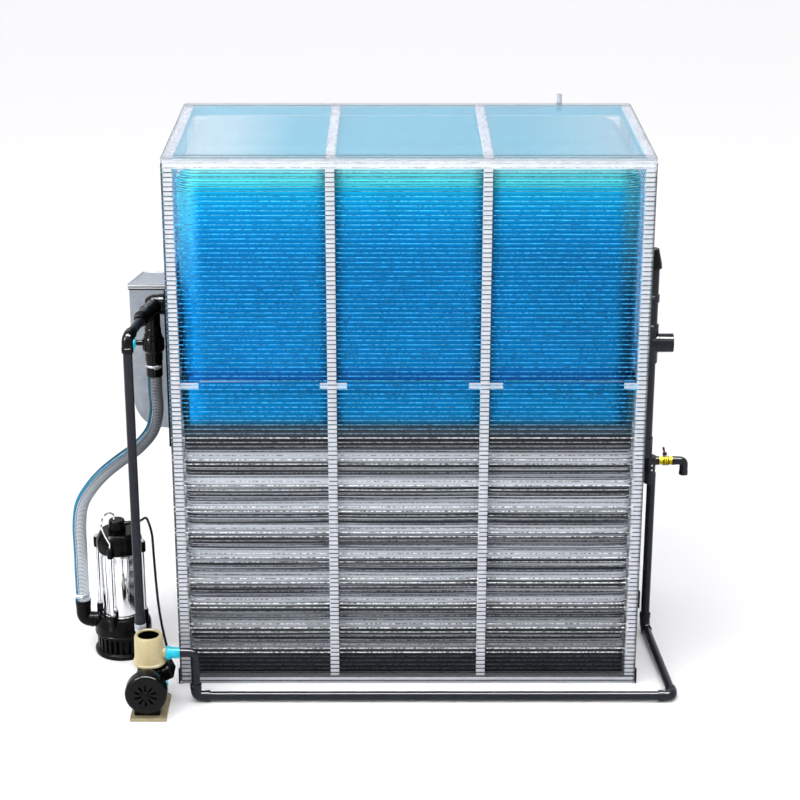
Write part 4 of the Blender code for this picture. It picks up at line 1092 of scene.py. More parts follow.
# The painted highlights fade out towards the foot and under the skirt.
level_fade = node(
    tree,
    "ValToRGB",
    {0: split.outputs["Z"]},
    stops=[
        (0.0, "#000000"), (0.112, "#000000"), (0.130, "#A0A0A0"), (0.30, "#D8D8D8"),
        (0.80, "#F4F4F4"), (0.875, "#E0E0E0"), (0.905, "#484848"), (1.0, "#303030"),
    ],
)
kept = node(tree, "Math", {0: wear_and_streak_light.outputs[0], 1: level_fade.outputs[0]}, operation="MULTIPLY")
tone = node(tree, "Mix", {0: kept.outputs[0], 6: "#202327", 7: "#D2D7DE"}, data_type="RGBA")
# Just below the skirt's hem the tank is painted in a dark teal shade.
hem_shade = node(tree, "MapRange", {"Value": split.outputs["Z"], "From Min": 0.945, "From Max": 0.975})
under_skirt = node(tree, "Mix", {0: hem_shade.outputs[0], 6: tone.outputs[2], 7: "#173F54"}, data_type="RGBA")
tree.links.new(under_skirt.outputs[2], shader.inputs["Base Color"])
relief = node(tree, "Bump", {"Height": fine.outputs[0], "Strength": 0.4, "Distance": 0.002})
tree.links.new(relief.outputs[0], shader.inputs["Normal"])
print("membranes:", blue_membrane.name, dark_membrane.name)

# %% Bays and rings
FILLED_X, FILLED_Y = 0.7697, 0.3847  # half the membranes' size, 4 mm inside the frame
(first_left, first_right), (second_left, second_right) = MID_POSTS
BAYS = ((-INNER_X, first_left), (first_right, second_left), (second_right, INNER_X))


def rounded_rectangle(half_x, half_y, radius, z, long_steps=72, short_steps=36, corner_steps=9):
    """A level ring of points, anticlockwise from above, with the same count at any size."""
    radius = min(radius, half_x * 0.95, half_y * 0.95)
    ring = []
    for sign_x, sign_y, start, steps in (
        (1, -1, -90, short_steps), (1, 1, 0, long_steps), (-1, 1, 90, short_steps), (-1, -1, 180, long_steps),
    ):
        centre = Vector((sign_x * (half_x - radius), sign_y * (half_y - radius), z))
        for step in range(corner_steps + 1):
            angle = math.radians(start + 90 * step / corner_steps)
            ring.append(centre + Vector((radius * math.cos(angle), radius * math.sin(angle), 0)))
        angle = math.radians(start + 90)
        outward = Vector((math.cos(angle), math.sin(angle), 0))
        onward = Vector((-math.sin(angle), math.cos(angle), 0))
        stretch = 2 * ((half_y if abs(onward.y) > 0.5 else half_x) - radius)
        corner = centre + outward * radius
        ring += [corner + onward * stretch * step / steps for step in range(1, steps)]
    return ring


def swelling(point):
    """From 0 beside a post to 1 in the middle of a bay, for a point on a long side."""
    for left, right in BAYS:
        if left < point.x < right:
            part = 2 * (point.x - left) / (right - left) - 1
            return (1 - part**4) ** 1.5
    return 0.0


print("bays:", [[round(x, 3) for x in bay] for bay in BAYS])


# %% Helper for a filled membrane
def membrane(name, half_x, half_y, low, high, corner, edges, swell, crease, finish, node_name):
    """A filled membrane: stacked rounded rectangles, swollen between the posts and creased."""
    lower, upper = edges
    levels = []
    for step in range(1, 9):  # the flat bottom closes inwards, then the lower edge curls up
        levels.append((low, lower + (half_y - lower - 0.02) * (1 - step / 8)))
    for step in range(1, 9):
        angle = math.radians(90 * step / 8)
        levels.append((low + lower * (1 - math.cos(angle)), lower * (1 - math.sin(angle))))
    rows = 56
    for step in range(1, rows):
        levels.append((low + lower + (high - low - lower - upper) * step / rows, 0.0))
    for step in range(0, 9):
        angle = math.radians(90 * step / 8)
        levels.append((high - upper + upper * math.sin(angle), upper * (1 - math.cos(angle))))
    for step in range(1, 15):
        levels.append((high, upper + (half_y - upper - 0.02) * step / 14))
    rings = []
    for z, inset in levels:
        ring = rounded_rectangle(half_x - inset, half_y - inset, max(corner - inset * 0.6, 0.012), z)
        height = min(max((z - low) / (high - low), 0), 1)
        pushed = []
        full_behind = z > high - upper and upper > 0.03  # the bag's back edge isn't rounded off
        for point in ring:
            if full_behind and point.y > 0:
                point = point + Vector((0, min(inset, upper) * point.y / (half_y - inset), 0))
            on_long_side = abs(point.y) > half_y - inset - 0.002
            ripple = noise.noise(Vector((point.x * 7, point.y * 7, z * 2.2))) * crease
            if on_long_side and inset < 0.002:
                away = Vector((0, math.copysign(1, point.y), 0))
                point = point + away * (swell(height) * swelling(point) + ripple * swelling(point))
            elif inset > upper * 0.98 and z > (low + high) / 2:
                point = point - Vector((0, 0, abs(ripple) * 2.0))
            pushed.append(point)
        rings.append(pushed)
    return piece(name, skinned(name, rings), finish, stands_for=node_name, sharp=80)


print("helper ready:", membrane.__name__)

# %% Tank and gas bag
membrane(
    "filled_tank", FILLED_X, FILLED_Y, 0.0106, 1.1390, 0.022, (0.012, 0.012),
    lambda height: 0.006 * math.sin(math.pi * min(height / 0.8, 1)) ** 0.6, 0.0012, dark_membrane,
    "digester_tank",
)
membrane(
    "gas_bag", FILLED_X, FILLED_Y, 1.1410, 1.8785, 0.065, (0.010, 0.064),
    lambda height: 0.008 * math.sin(math.pi * height), 0.0030, blue_membrane, "gas_holder",
)

# %% [markdown]
# ## Skirts
# On each side a strip of the same blue fabric hangs over the joint of tank and bag. It is sewn into
# a sleeve around a white pole in each bay, and the poles show bare beside the posts. A cloth strip
# with a wavy lower edge is laid out as a grid, with one more grid wrapped round each pole.

# %% Helper for a skirt
# how much of the pole is bare in each bay, beside its left and its right post
BARE_POLE = ((0.063, 0.026), (0.036, 0.039), (0.046, 0.043))


def skirt(side, half_length, bays, flap_y, turn):
    """A hanging strip and the sleeves that it is sewn into, turned to its side of the housing."""
    points, faces = [], []

    def grid(columns, rows, place):
        at = len(points)
        for column in range(columns + 1):
            for row in range(rows + 1):
                points.append(place(column / columns, row / rows))
        for column in range(columns):
            for row in range(rows):
                corner = at + column * (rows + 1) + row
                faces.append((corner, corner + rows + 1, corner + rows + 2, corner + 1))

    def hanging(across, down):
        x = -half_length + 2 * half_length * across
        z = SKIRT_TOP + (SKIRT_LOW - SKIRT_TOP) * down
        free = swelling(Vector((x, 0, 0))) if half_length > 0.5 else (1 - abs(2 * across - 1) ** 4)
        drift = 0.8 * noise.noise(Vector((x * 5, z * 6, 3)))
        wave = math.sin(x * 31 + 0.8) + 0.6 * math.sin(x * 53 + 2.0) + drift
        return (x, -flap_y + 0.0018 - 0.0011 * free * down * (wave + 1.6), z)

    grid(240 if half_length > 0.5 else 120, 16, hanging)
    pole_y = -(flap_y + 0.015)
    half, radius = 0.0122, 0.005
    wrapped = rounded_bend(
        [
            (0, -flap_y + 0.0014, POLE_Z + half), (0, pole_y - half, POLE_Z + half),
            (0, pole_y - half, POLE_Z - half), (0, -flap_y + 0.0014, POLE_Z - half),
        ],
        radius,
        4,
    )
    for left, right in bays:
        route = evenly(wrapped, 0.004)

        def sleeve(across, down, left=left, right=right, route=route):
            point = route[min(round(down * (len(route) - 1)), len(route) - 1)]
            x = left + (right - left) * across
            pucker = 0.0007 * noise.noise(Vector((x * 40, point.y * 60, point.z * 60)))
            return (x, point.y + pucker, point.z + pucker)

        grid(80, len(route) - 1, sleeve)
    mesh = bpy.data.meshes.new(f"skirt_{side}_cloth")
    mesh.from_pydata([Matrix.Rotation(math.radians(turn), 3, "Z") @ Vector(p) for p in points], [], faces)
    cloth = piece(f"skirt_{side}_cloth", mesh, blue_membrane, stands_for="skirt_" + side, sharp=80)
    thickness = cloth.modifiers.new("fabric_thickness", "SOLIDIFY")
    thickness.thickness = 0.0008
    thickness.offset = 0.0


print("helper ready:", skirt.__name__)

# %% Skirts
long_bays = []
for (left, right), (bare_left, bare_right) in zip(BAYS, BARE_POLE):
    long_bays.append((left + bare_left, right - bare_right))
BARE_SIDE_POLE = 0.0445
short_bay = [(-INNER_Y + BARE_SIDE_POLE, INNER_Y - BARE_SIDE_POLE)]
skirt("front", 0.746, long_bays, INNER_Y, 0)
skirt("back", 0.746, long_bays, INNER_Y, 180)
skirt("left", 0.361, short_bay, INNER_X, -90)
skirt("right", 0.361, short_bay, INNER_X, 90)

# %% [markdown]
# ## Hopper
# The feed hopper is folded sheet steel in grey enamel, tapered towards the back, with a rolled
# lower corner and a lid whose raised rim catches the light. Its outline is drawn once, and the back
# ring is the same outline narrowed, so the taper stays exact.

# %% Hopper and lid
BOARD_FACE = -0.8186
HOPPER_REACH = 0.985
HOPPER_Y = (-0.015, 0.135)
HOPPER_TOP, HOPPER_LOW, LID_TOP = 1.343, 0.822, 1.365
TAPER = 0.79
depth_x = HOPPER_REACH + BOARD_FACE
corner = 0.095
outline = [(0, HOPPER_TOP), (-depth_x, HOPPER_TOP)]
outline += [
    (
        -depth_x + corner * (1 - math.cos(math.radians(angle))),
        HOPPER_LOW + 1.25 * corner * (1 - math.sin(math.radians(angle))),
    )
    for angle in range(0, 91, 5)
]
outline.append((0, HOPPER_LOW - 0.006))
front = [Vector((BOARD_FACE + x, HOPPER_Y[0], z)) for x, z in outline]
back = [Vector((BOARD_FACE + x * TAPER, HOPPER_Y[1], z)) for x, z in outline]
piece(
    "hopper_body", skinned("hopper_body", [back, front]), grey_enamel, stands_for="feed_hopper", bevel=0.004
)


def lid_ring(inset, z):
    """The lid's outline from above, drawn in by an inset."""
    near, far = HOPPER_Y[0] - 0.004, HOPPER_Y[1]
    wide = depth_x + 0.004
    return [
        Vector((BOARD_FACE - inset, near + inset, z)), Vector((BOARD_FACE - inset, far - inset, z)),
        Vector((BOARD_FACE - wide * TAPER + inset, far - inset, z)),
        Vector((BOARD_FACE - wide + inset, near + inset, z)),
    ]


# The two pale trims are painted highlight lines, and the black groove between them is a painted shade line.
for name, finish, levels in (
    ("hopper_gasket", black_cast, ((0.0040, 1.3432), (0.0010, 1.3436), (0.0010, 1.3476), (0.0040, 1.3480))),
    ("lid_lower_trim", pale_highlight_trim, ((0.0040, 1.3480), (0.0002, 1.3483), (0.0002, 1.3508), (0.0040, 1.3511))),
    ("lid_groove", black_cast, ((0.0040, 1.3511), (0.0014, 1.3513), (0.0014, 1.3553), (0.0040, 1.3556))),
    ("lid_upper_trim", pale_highlight_trim, ((0.0040, 1.3556), (0.0, 1.3560), (0.0, 1.3592), (0.0040, 1.3595))),
):
    piece(name, skinned(name, [lid_ring(inset, z) for inset, z in levels]), finish, bevel=0.0003)
lid_levels = [
    (0.0016, 1.3595), (0.0004, 1.3602), (0.0004, 1.3640), (0.0012, LID_TOP), (0.0080, LID_TOP),
    (0.0090, 1.3634),
]
piece(
    "hopper_lid_rim", skinned("hopper_lid_rim", [lid_ring(inset, z) for inset, z in lid_levels]), grey_enamel,
    stands_for="hopper_lid", bevel=0.0004, sharp=25,
)
print("hopper sticks out", round(depth_x, 3))

# %% [markdown]
# ## Inlet
# The inlet is made of glued pipe fittings in black ABS: an elbow out of the wall, a branch that
# turns down into a union valve with a teal handle, and a reducer to the riser at the front. Each
# fitting is a turned body with the collars and beads that a moulded socket has.

# %% Inlet elbow, branch and reducer
BARREL = Vector((INLET.x + 0.008, INLET.y + 0.045, INLET.z))
REDUCER = Vector((-0.904, -0.310, 1.334))
RISER = Vector((-0.937, -0.475, 0.0))
RISER_TOP = 1.316
PIPE_R, ELBOW_R = 0.016, 0.0205
riser_top = Vector((RISER.x, RISER.y, RISER_TOP))
toward = (riser_top - REDUCER).normalized()
turned(
    "inlet_wall_socket",
    [
        (-0.8665, 0.0345), (-0.865, 0.0365), (-0.846, 0.0365), (-0.845, 0.0345), (-0.8325, 0.0345),
        (-0.831, 0.0365), (BOARD_FACE, 0.0365),
    ],
    (0, BARREL.y, INLET.z), black_abs, "X", stands_for="inlet_tee", bevel=0.0007,
)
turned(
    "inlet_elbow_cap",
    [
        (-0.9115, 0.0150), (-0.9095, 0.0190), (-0.903, 0.0255), (-0.894, 0.0305), (-0.884, 0.0345),
        (-0.8667, 0.0345),
    ],
    (0, BARREL.y, INLET.z), black_abs, "X", bevel=0.0005,
)
barrel_end = REDUCER + toward * 0.006
barrel_way = evenly([BARREL, barrel_end], 0.0015)


def barrel_radius(walked):
    """The barrel's radius: its collars stand 1.5 mm proud."""
    beads = ((0.030, 0.036), (0.094, 0.112))
    return 0.0290 if any(low < walked < high for low, high in beads) else 0.0275


swept("inlet_barrel", barrel_way, barrel_radius, black_abs, sides=64)
turned(
    "inlet_branch",
    [(1.2405, 0.0290), (1.262, 0.0290), (1.2635, 0.0272), (1.334, 0.0272)],
    (INLET.x, INLET.y, 0), black_abs, bevel=0.0006,
)
reducer_way = evenly([REDUCER, REDUCER + toward * 0.030], 0.0015)
swept(
    "inlet_reducer", reducer_way,
    lambda walked: 0.0262 - 0.0002 * (walked * 1000) ** 1.05 if walked < 0.022 else 0.0205, black_abs,
    sides=64,
)

# %% Inlet valve and its cuff
valve_place = (INLET.x, INLET.y, 0)
turned(
    "inlet_valve_body",
    [
        (1.088, 0.0270), (1.090, 0.0285), (1.1175, 0.0285), (1.1195, 0.0285), (1.1320, 0.0285),
        (1.140, 0.0285), (1.1465, 0.0310), (1.176, 0.0310), (1.184, 0.0372), (1.188, 0.0375),
        (1.194, 0.0362), (1.200, 0.0375), (1.206, 0.0362), (1.212, 0.0375), (1.220, 0.0375),
        (1.224, 0.0368), (1.232, 0.0320), (1.2397, 0.0320),
    ],
    valve_place, black_abs, stands_for="inlet_valve", bevel=0.0006, sharp=25,
)
for number in range(12):  # grip flats around the union nut
    angle = math.radians(15 + 30 * number)
    middle = Vector((INLET.x, INLET.y, 1.204)) + ring_out(angle) * 0.0365
    block(
        f"valve_grip_{number + 1}", *around(middle, (0.0022, 0.0030, 0.0185)), black_abs,
        turn=Matrix.Rotation(angle, 3, "Z"), bevel=0.0009,
    )
turned(
    "valve_stem", [(-0.9425, 0.0085), (-0.9400, 0.0100), (-0.9130, 0.0100)], (0, INLET.y, 1.208), black_abs,
    "X", bevel=0.0004,
)
print("valve pieces:", named("inlet_valve", "valve"))


# %% Hose clamps
def hose_clamp(name, centre, radius, turn):
    """A worm-drive clamp: a steel band with its screw housing and screw."""
    low = centre[2] - 0.0040
    turned(
        name + "_band", [(low, radius), (low + 0.008, radius)], (centre[0], centre[1], 0), bolt_steel,
        bevel=0.0008,
    )
    angle = math.radians(turn)
    middle = Vector(centre) + ring_out(angle) * (radius + 0.0035)
    block(
        name + "_housing", *around(middle, (0.0038, 0.0085, 0.0065)), bolt_steel,
        turn=Matrix.Rotation(angle, 3, "Z"), bevel=0.0014,
    )
    sideways = Vector((-math.sin(angle), math.cos(angle), 0))
    head = [middle + sideways * 0.0080, middle + sideways * 0.0150]
    pipe(name + "_screw", head, 0.0040, bolt_steel, sides=6)


hose_clamp("inlet_clamp", (INLET.x, INLET.y, 1.127), 0.0300, -70)
hose_clamp("pump_clamp", (-1.186, -0.147, 0.222), 0.0262, -110)
print("clamp pieces:", named("inlet_clamp", "pump_clamp"))

# %% Teal handle
HANDLE = Vector((-0.952, -0.200, 1.208))
turned(
    "teal_handle_hub", [(-0.012, 0.0120), (-0.0105, 0.0130), (0.0075, 0.0130), (0.009, 0.0120)],
    HANDLE, teal, "X", stands_for="inlet_valve_handle", body="inlet_handle", bevel=0.0006,
)
block(
    "teal_handle_bar", HANDLE + Vector((-0.0140, -0.0078, -0.0240)),
    HANDLE + Vector((0.0050, 0.0078, 0.0240)), teal,
    body="inlet_handle", bevel=0.0028,
)
print("inlet pieces:", named("inlet", "valve"))

# %% [markdown]
# ## Pipes and elbows
# Pipe is bought straight and turned with glued elbows, so each elbow is a separate moulding whose
# ends swell into sockets. A swept tube whose radius depends on the distance gives both at once.


# %% Elbows
def elbow(name, before, corner, after, finish=pipe_grey, bend_radius=0.026, socket=0.019, **more):
    """A glued pipe elbow: a bent tube with a wider socket at each end."""
    route = evenly(rounded_bend([before, corner, after], bend_radius, 16), 0.0012)
    total = path_length(route)

    def radius_at(walked):
        into = min(walked, total - walked)
        if into < 0.0012:
            return ELBOW_R - 0.0009
        return ELBOW_R if into < socket else ELBOW_R - 0.0014

    return swept(name, route, radius_at, finish, sides=48, sharp=25, **more)


start = REDUCER + toward * 0.0303
back_way = (start - riser_top).normalized()
pipe(
    "feed_riser_pipe", rounded_bend([start, riser_top, (RISER.x, RISER.y, 0.286)], 0.024), PIPE_R, pipe_grey,
    stands_for="feed_riser",
)
elbow(
    "feed_riser_elbow", riser_top + back_way * 0.046, riser_top, riser_top - Vector((0, 0, 0.050)), black_abs
)
# Clear styrene: pale and glossy, mottled by the pipe that shows through it.
clear_fitting = grained(
    surface("clear_styrene", "pipe_grey", "#C4CAD0", 0.08, ior=1.55, Coat_Weight=0.5),
    "#D8DDE1", "#6E767E", 0.0045, 0.00003,
)
turned(
    "riser_sight_fitting",
    [
        (0.150, 0.0165), (0.151, 0.0170), (0.234, 0.0170), (0.2400, 0.0198), (0.2412, 0.0201),
        (0.2650, 0.0201), (0.2660, 0.0196),
    ],
    (RISER.x, RISER.y, 0), clear_fitting, bevel=0.0005,
)
turned(
    "riser_union",
    [
        (0.2662, 0.0192), (0.2680, 0.0198), (0.2720, 0.0198), (0.2740, 0.0185), (0.2955, 0.0180),
        (0.300, 0.0172),
    ],
    (RISER.x, RISER.y, 0), pipe_grey, bevel=0.0005,
)

# %% Supply pipe along the front and the side
PIPE_Y, PORT_Z, LEG_X = -0.553, 0.190, -0.742
UNION_END, CORNER_X, RIGHT_X = -0.793, 0.930, 0.893
front_path = [
    (UNION_END + GAP, PIPE_Y, PORT_Z), (LEG_X, PIPE_Y, PORT_Z), (LEG_X, PIPE_Y, ELBOW_R),
    (CORNER_X - 0.052, PIPE_Y, ELBOW_R),
]
pipe("supply_front_pipe", rounded_bend(front_path, 0.022), PIPE_R, pipe_grey, stands_for="supply_front_run")
elbow(
    "supply_low_elbow", (LEG_X, PIPE_Y, 0.070), (LEG_X, PIPE_Y, ELBOW_R), (LEG_X + 0.050, PIPE_Y, ELBOW_R)
)
corner_point = Vector((CORNER_X, PIPE_Y, ELBOW_R))
back_point = Vector((RIGHT_X, 0, ELBOW_R))
slant = (back_point - corner_point).normalized()
pipe(
    "supply_side_pipe", [corner_point + slant * 0.03, back_point - slant * 0.044], PIPE_R, pipe_grey,
    stands_for="supply_side_run",
)
elbow(
    "supply_corner_elbow", corner_point - Vector((0.0517, 0, 0)), corner_point, corner_point + slant * 0.050
)
pipe(
    "tap_riser_pipe", [(RIGHT_X, 0, 0.04), (RIGHT_X, 0, 0.640)], PIPE_R, pipe_grey, stands_for="supply_riser"
)
elbow("supply_back_elbow", back_point - slant * 0.0437, back_point, back_point + Vector((0, 0, 0.052)))
turned(
    "tap_tee",
    [
        (0.600, 0.0195), (0.602, 0.0205), (0.640, 0.0210), (0.668, 0.0215), (0.670, 0.0225),
        (0.7035, 0.0225), (0.705, 0.0215),
    ],
    (RIGHT_X - 0.008, 0, 0), pipe_grey, bevel=0.0005, sharp=25,
)
turned(
    "tap_branch", [(RIGHT_X, 0.0165), (0.9165, 0.0165), (0.9177, 0.0156)], (0, 0, 0.687), pipe_grey, "X",
    bevel=0.0004
)

# %% [markdown]
# ## Standpipe and tap
# On the right an overflow comes out of the wall into a standpipe with a cowl on top. Below it a
# brass ball tap has a knurled middle, a dipped red-brown lever and a bent spout.

# %% Standpipe
STAND_X, STAND_TOP = 0.864, 1.420
turned(
    "standpipe_body",
    [
        (0.7053, 0.0270), (0.707, 0.0280), (0.779, 0.0280), (0.784, 0.0250), (1.0655, 0.0250),
        (1.0675, 0.0300), (1.070, 0.0310), (1.208, 0.0310), (1.210, 0.0300), (1.2125, 0.0250),
        (1.2935, 0.0250), (1.2955, 0.0290), (1.320, 0.0290), (1.322, 0.0250), (STAND_TOP, 0.0250),
    ],
    (STAND_X, 0, 0), pipe_grey, stands_for="standpipe", bevel=0.0006, sharp=25,
)
turned(
    "standpipe_cowl",
    [
        (1.4185, 0.0300), (1.4200, 0.0326), (1.4220, 0.0330), (1.4400, 0.0310), (1.4600, 0.0262),
        (1.4780, 0.0222), (1.4880, 0.0205), (1.4900, 0.0190),
    ],
    (STAND_X, 0, 0), black_abs, bevel=0.0006, sharp=30,
)
turned(
    "overflow_stub",
    [
        (0.8103, 0.0350), (0.895, 0.0350), (0.897, 0.0340), (0.9465, 0.0340), (0.948, 0.0335),
        (0.948, 0.0310), (0.9465, 0.0305), (0.894, 0.0305),
    ],
    (0, 0, 1.140), pipe_grey, "X", bevel=0.0005, sharp=25,
)

# %% Brass tap
TAP_Z = 0.687
turned(
    "tap_inlet_hex", [(0.9180, 0.0150), (0.9190, 0.0165), (0.9305, 0.0165), (0.9315, 0.0155)],
    (0, 0, TAP_Z), brass, "X",
    sides=6, stands_for="tap_valve", bevel=0.0008,
)
turned(
    "tap_body",
    [
        (0.9308, 0.0150), (0.9320, 0.0164), (0.9345, 0.0166), (0.9500, 0.0166), (0.9525, 0.0164),
        (0.9535, 0.0150),
    ],
    (0, 0, TAP_Z), brass, "X", bevel=0.0004,
)
for number in range(30):  # knurled ridges around the body
    angle = 2 * math.pi * number / 30
    outward = Vector((0, math.cos(angle), math.sin(angle)))
    centre = Vector((0.9422, 0, TAP_Z)) + outward * 0.0166
    pipe(f"tap_ridge_{number + 1}", around(centre, (0.0078, 0, 0)), 0.0009, brass, sides=6)
for number, x in enumerate((0.9308, 0.9350, 0.9425, 0.9500)):  # dark grooves between the knurled rings
    turned(
        f"tap_groove_{number + 1}",
        [(x, 0.0160), (x + 0.0003, 0.0178), (x + 0.0021, 0.0178), (x + 0.0024, 0.0160)],
        (0, 0, TAP_Z), black_abs, "X",
    )
turned(
    "tap_outlet_hex", [(0.9535, 0.0152), (0.9545, 0.0165), (0.9650, 0.0165), (0.9660, 0.0155)],
    (0, 0, TAP_Z), brass, "X",
    sides=6, bevel=0.0008,
)
turned(
    "tap_seal_ring", [(0.9644, 0.0166), (0.9647, 0.0172), (0.9659, 0.0172), (0.9661, 0.0166)],
    (0, 0, TAP_Z), black_abs, "X",
)
turned(
    "tap_stem", [(TAP_Z, 0.0060), (0.7070, 0.0060), (0.7090, 0.0050)], (0.938, 0, 0), bolt_steel, bevel=0.0003
)
print("knurled ridges:", named("tap_ridge"))

# %% Lever and spout
LEVER = Vector((0.938, 0.0, 0.709))
turned(
    "lever_hub", [(0.0003, 0.0070), (0.0012, 0.0080), (0.0078, 0.0080), (0.0090, 0.0068)], LEVER, red_grip,
    stands_for="tap_handle", body="tap_lever", bevel=0.0004,
)
lever_rings = []
for y, lift, half, thick in (
    (0.0, 0.0045, 0.0040, 0.0014), (0.012, 0.0045, 0.0036, 0.0014), (0.020, 0.0052, 0.0034, 0.0014),
    (0.030, 0.0078, 0.0040, 0.0015), (0.040, 0.0105, 0.0042, 0.0016), (0.046, 0.0115, 0.0032, 0.0013),
):
    lever_rings.append(
        [
            LEVER + Vector((x * half, y, lift + z * thick + 0.0005))
            for x, z in ((1, -1), (1, 1), (-1, 1), (-1, -1))
        ]
    )
piece("lever_blade", skinned("lever_blade", lever_rings), red_grip, body="tap_lever", bevel=0.0010)
SPOUT_X, SPOUT_LOW = 1.009, 0.634
spout_route = evenly(
    rounded_bend([(0.9663, 0, TAP_Z), (SPOUT_X, 0, TAP_Z), (SPOUT_X, 0, SPOUT_LOW + 0.0003)], 0.018), 0.0012
)
spout_total = path_length(spout_route)
swept(
    "tap_spout_tube", spout_route,
    lambda walked: 0.0165 if min(walked, spout_total - walked) < 0.012 else 0.0155, pipe_grey, sides=48,
    stands_for="tap_spout", sharp=25,
)
turned(
    "tap_spout_mouth",
    [(SPOUT_LOW, 0.0163), (SPOUT_LOW + 0.002, 0.0165), (SPOUT_LOW + 0.002, 0.0125), (SPOUT_LOW, 0.0125)],
    (SPOUT_X, 0, 0), pipe_grey,
)
for number, z in enumerate((0.6755, 0.6570)):  # two white screws through the tee's socket
    turned(
        f"tee_screw_{number + 1}", [(-0.0238, 0.0022), (-0.0230, 0.0029), (-0.0200, 0.0030)],
        (0.8905, 0, z), white_frame,
        "Y", sides=24,
    )
print("tap pieces:", named("tap", "lever"))

# %% [markdown]
# ## Submersible pump
# The pump on the left stands on a slotted strainer. Its motor is in a polished steel shell, held
# between the volute and the cap by four tie rods with nuts, and a steel bail lifts it.

# %% Strainer and volute
turned(
    "pump_foot",
    [(0.0, 0.1035), (0.0015, 0.1045), (0.008, 0.1060), (0.0155, 0.1045), (0.0185, 0.0985), (0.020, 0.0960)],
    PUMP, black_cast, stands_for="submersible_base", bevel=0.0006, sharp=25,
)
turned("strainer_core", [(0.0195, 0.0780), (0.0765, 0.0780)], PUMP, black_cast)
for number in range(28):
    angle = 2 * math.pi * number / 28
    middle = PUMP + ring_out(angle) * 0.0905 + Vector((0, 0, 0.0475))
    block(
        f"strainer_bar_{number + 1}", *around(middle, (0.0045, 0.0058, 0.0290)), black_cast,
        turn=Matrix.Rotation(angle, 3, "Z"), bevel=0.0008,
    )
turned(
    "pump_volute",
    [
        (0.0745, 0.0930), (0.0760, 0.1000), (0.0790, 0.1022), (0.0880, 0.1030), (0.0900, 0.1012),
        (0.0930, 0.1030), (0.1090, 0.1030), (0.1180, 0.1010), (0.1260, 0.0975), (0.1380, 0.0910),
        (0.1470, 0.0868), (0.1497, 0.0840),
    ],
    PUMP, black_cast, bevel=0.0005, sharp=25,
)
outlet_way = evenly(
    rounded_bend(
        [PUMP + Vector((-0.06, 0, 0.120)), Vector((-1.186, PUMP.y, 0.120)), Vector((-1.186, PUMP.y, 0.200))],
        0.030,
    ),
    0.0015
)
outlet_total = path_length(outlet_way)


def outlet_radius(walked):
    """The outlet's radius, with a flange at the pump and a cuff at the hose."""
    if 0.046 < walked < 0.056:
        return 0.0285
    return 0.0283 if outlet_total - walked < 0.022 else 0.0268


swept("pump_outlet", outlet_way, outlet_radius, black_cast, sides=56, sharp=25)

# %% Shell, rods and cap
turned(
    "pump_shell",
    [
        (0.150, 0.0715), (0.1515, 0.0728), (0.158, 0.0728), (0.1595, 0.0718), (0.1615, 0.0728),
        (0.3895, 0.0728), (0.3915, 0.0718), (0.3935, 0.0728), (0.4005, 0.0728), (0.402, 0.0715),
    ],
    PUMP, steel, sides=96, stands_for="submersible_shell", sharp=30,
)
turned(
    "pump_cap",
    [
        (0.4023, 0.0780), (0.4040, 0.0793), (0.4143, 0.0820), (0.4440, 0.0820), (0.4473, 0.0812),
        (0.4560, 0.0782), (0.4623, 0.0758), (0.4740, 0.0690), (0.4780, 0.0655),
    ],
    PUMP, black_cast, stands_for="submersible_cap", bevel=0.0006, sharp=25,
)
turned(
    "cap_block", [(0.4770, 0.0320), (0.4900, 0.0316), (0.5060, 0.0300), (0.5150, 0.0286), (0.5180, 0.0262)],
    PUMP + Vector((-0.006, 0, 0)), black_cast, bevel=0.0008, sharp=25,
)
print("shell and cap:", named("pump_shell", "pump_cap", "cap_block"))


# %% Cable gland
def gland_radius(wide, taper, length, groove, plain):
    """The radius along a cable gland: it tapers, and is grooved past its plain nut."""

    def radius_at(walked):
        grooved = int(walked / 0.0032) % 2 and walked > plain
        return wide - taper * walked / length - (groove if grooved else 0)

    return radius_at


gland_way = evenly([GLAND_START, GLAND_END], 0.0008)
gland_long = (GLAND_END - GLAND_START).length
swept(
    "cable_gland", gland_way, gland_radius(0.0100, 0.0032, gland_long, 0.0008, 0.03), black_abs,
    sides=32, sharp=25,
)
print("gland length", round(gland_long, 3))

# %% Tie rods and bail
ROD_RADIUS = 0.088  # from the pump's axis to its tie rods
for number, angle in enumerate((-105, -15, 75, 165)):
    ear = PUMP + ring_out(math.radians(angle)) * ROD_RADIUS
    turned(
        f"base_ear_{number + 1}", [(0.1200, 0.0120), (0.1700, 0.0120), (0.1720, 0.0110)], ear, black_cast,
        bevel=0.0006, sides=32
    )
    turned(
        f"cap_ear_{number + 1}", [(0.4023, 0.0110), (0.4043, 0.0120), (0.4385, 0.0120), (0.4403, 0.0110)],
        ear, black_cast, bevel=0.0006, sides=32,
    )
    pipe(
        f"tie_rod_{number + 1}", [ear + Vector((0, 0, 0.1723)), ear + Vector((0, 0, 0.4123))], 0.0055,
        steel, sides=24,
    )
    turned(
        f"rod_nut_{number + 1}", [(0.1722, 0.0088), (0.1732, 0.0096), (0.1800, 0.0096), (0.1810, 0.0086)],
        ear, bolt_steel, sides=6, phase=0.25,
    )
    if number:
        turned(
            f"cap_nut_{number + 1}",
            [(0.4403, 0.0086), (0.4413, 0.0094), (0.4478, 0.0094), (0.4488, 0.0084)], ear, bolt_steel,
            sides=6,
        )

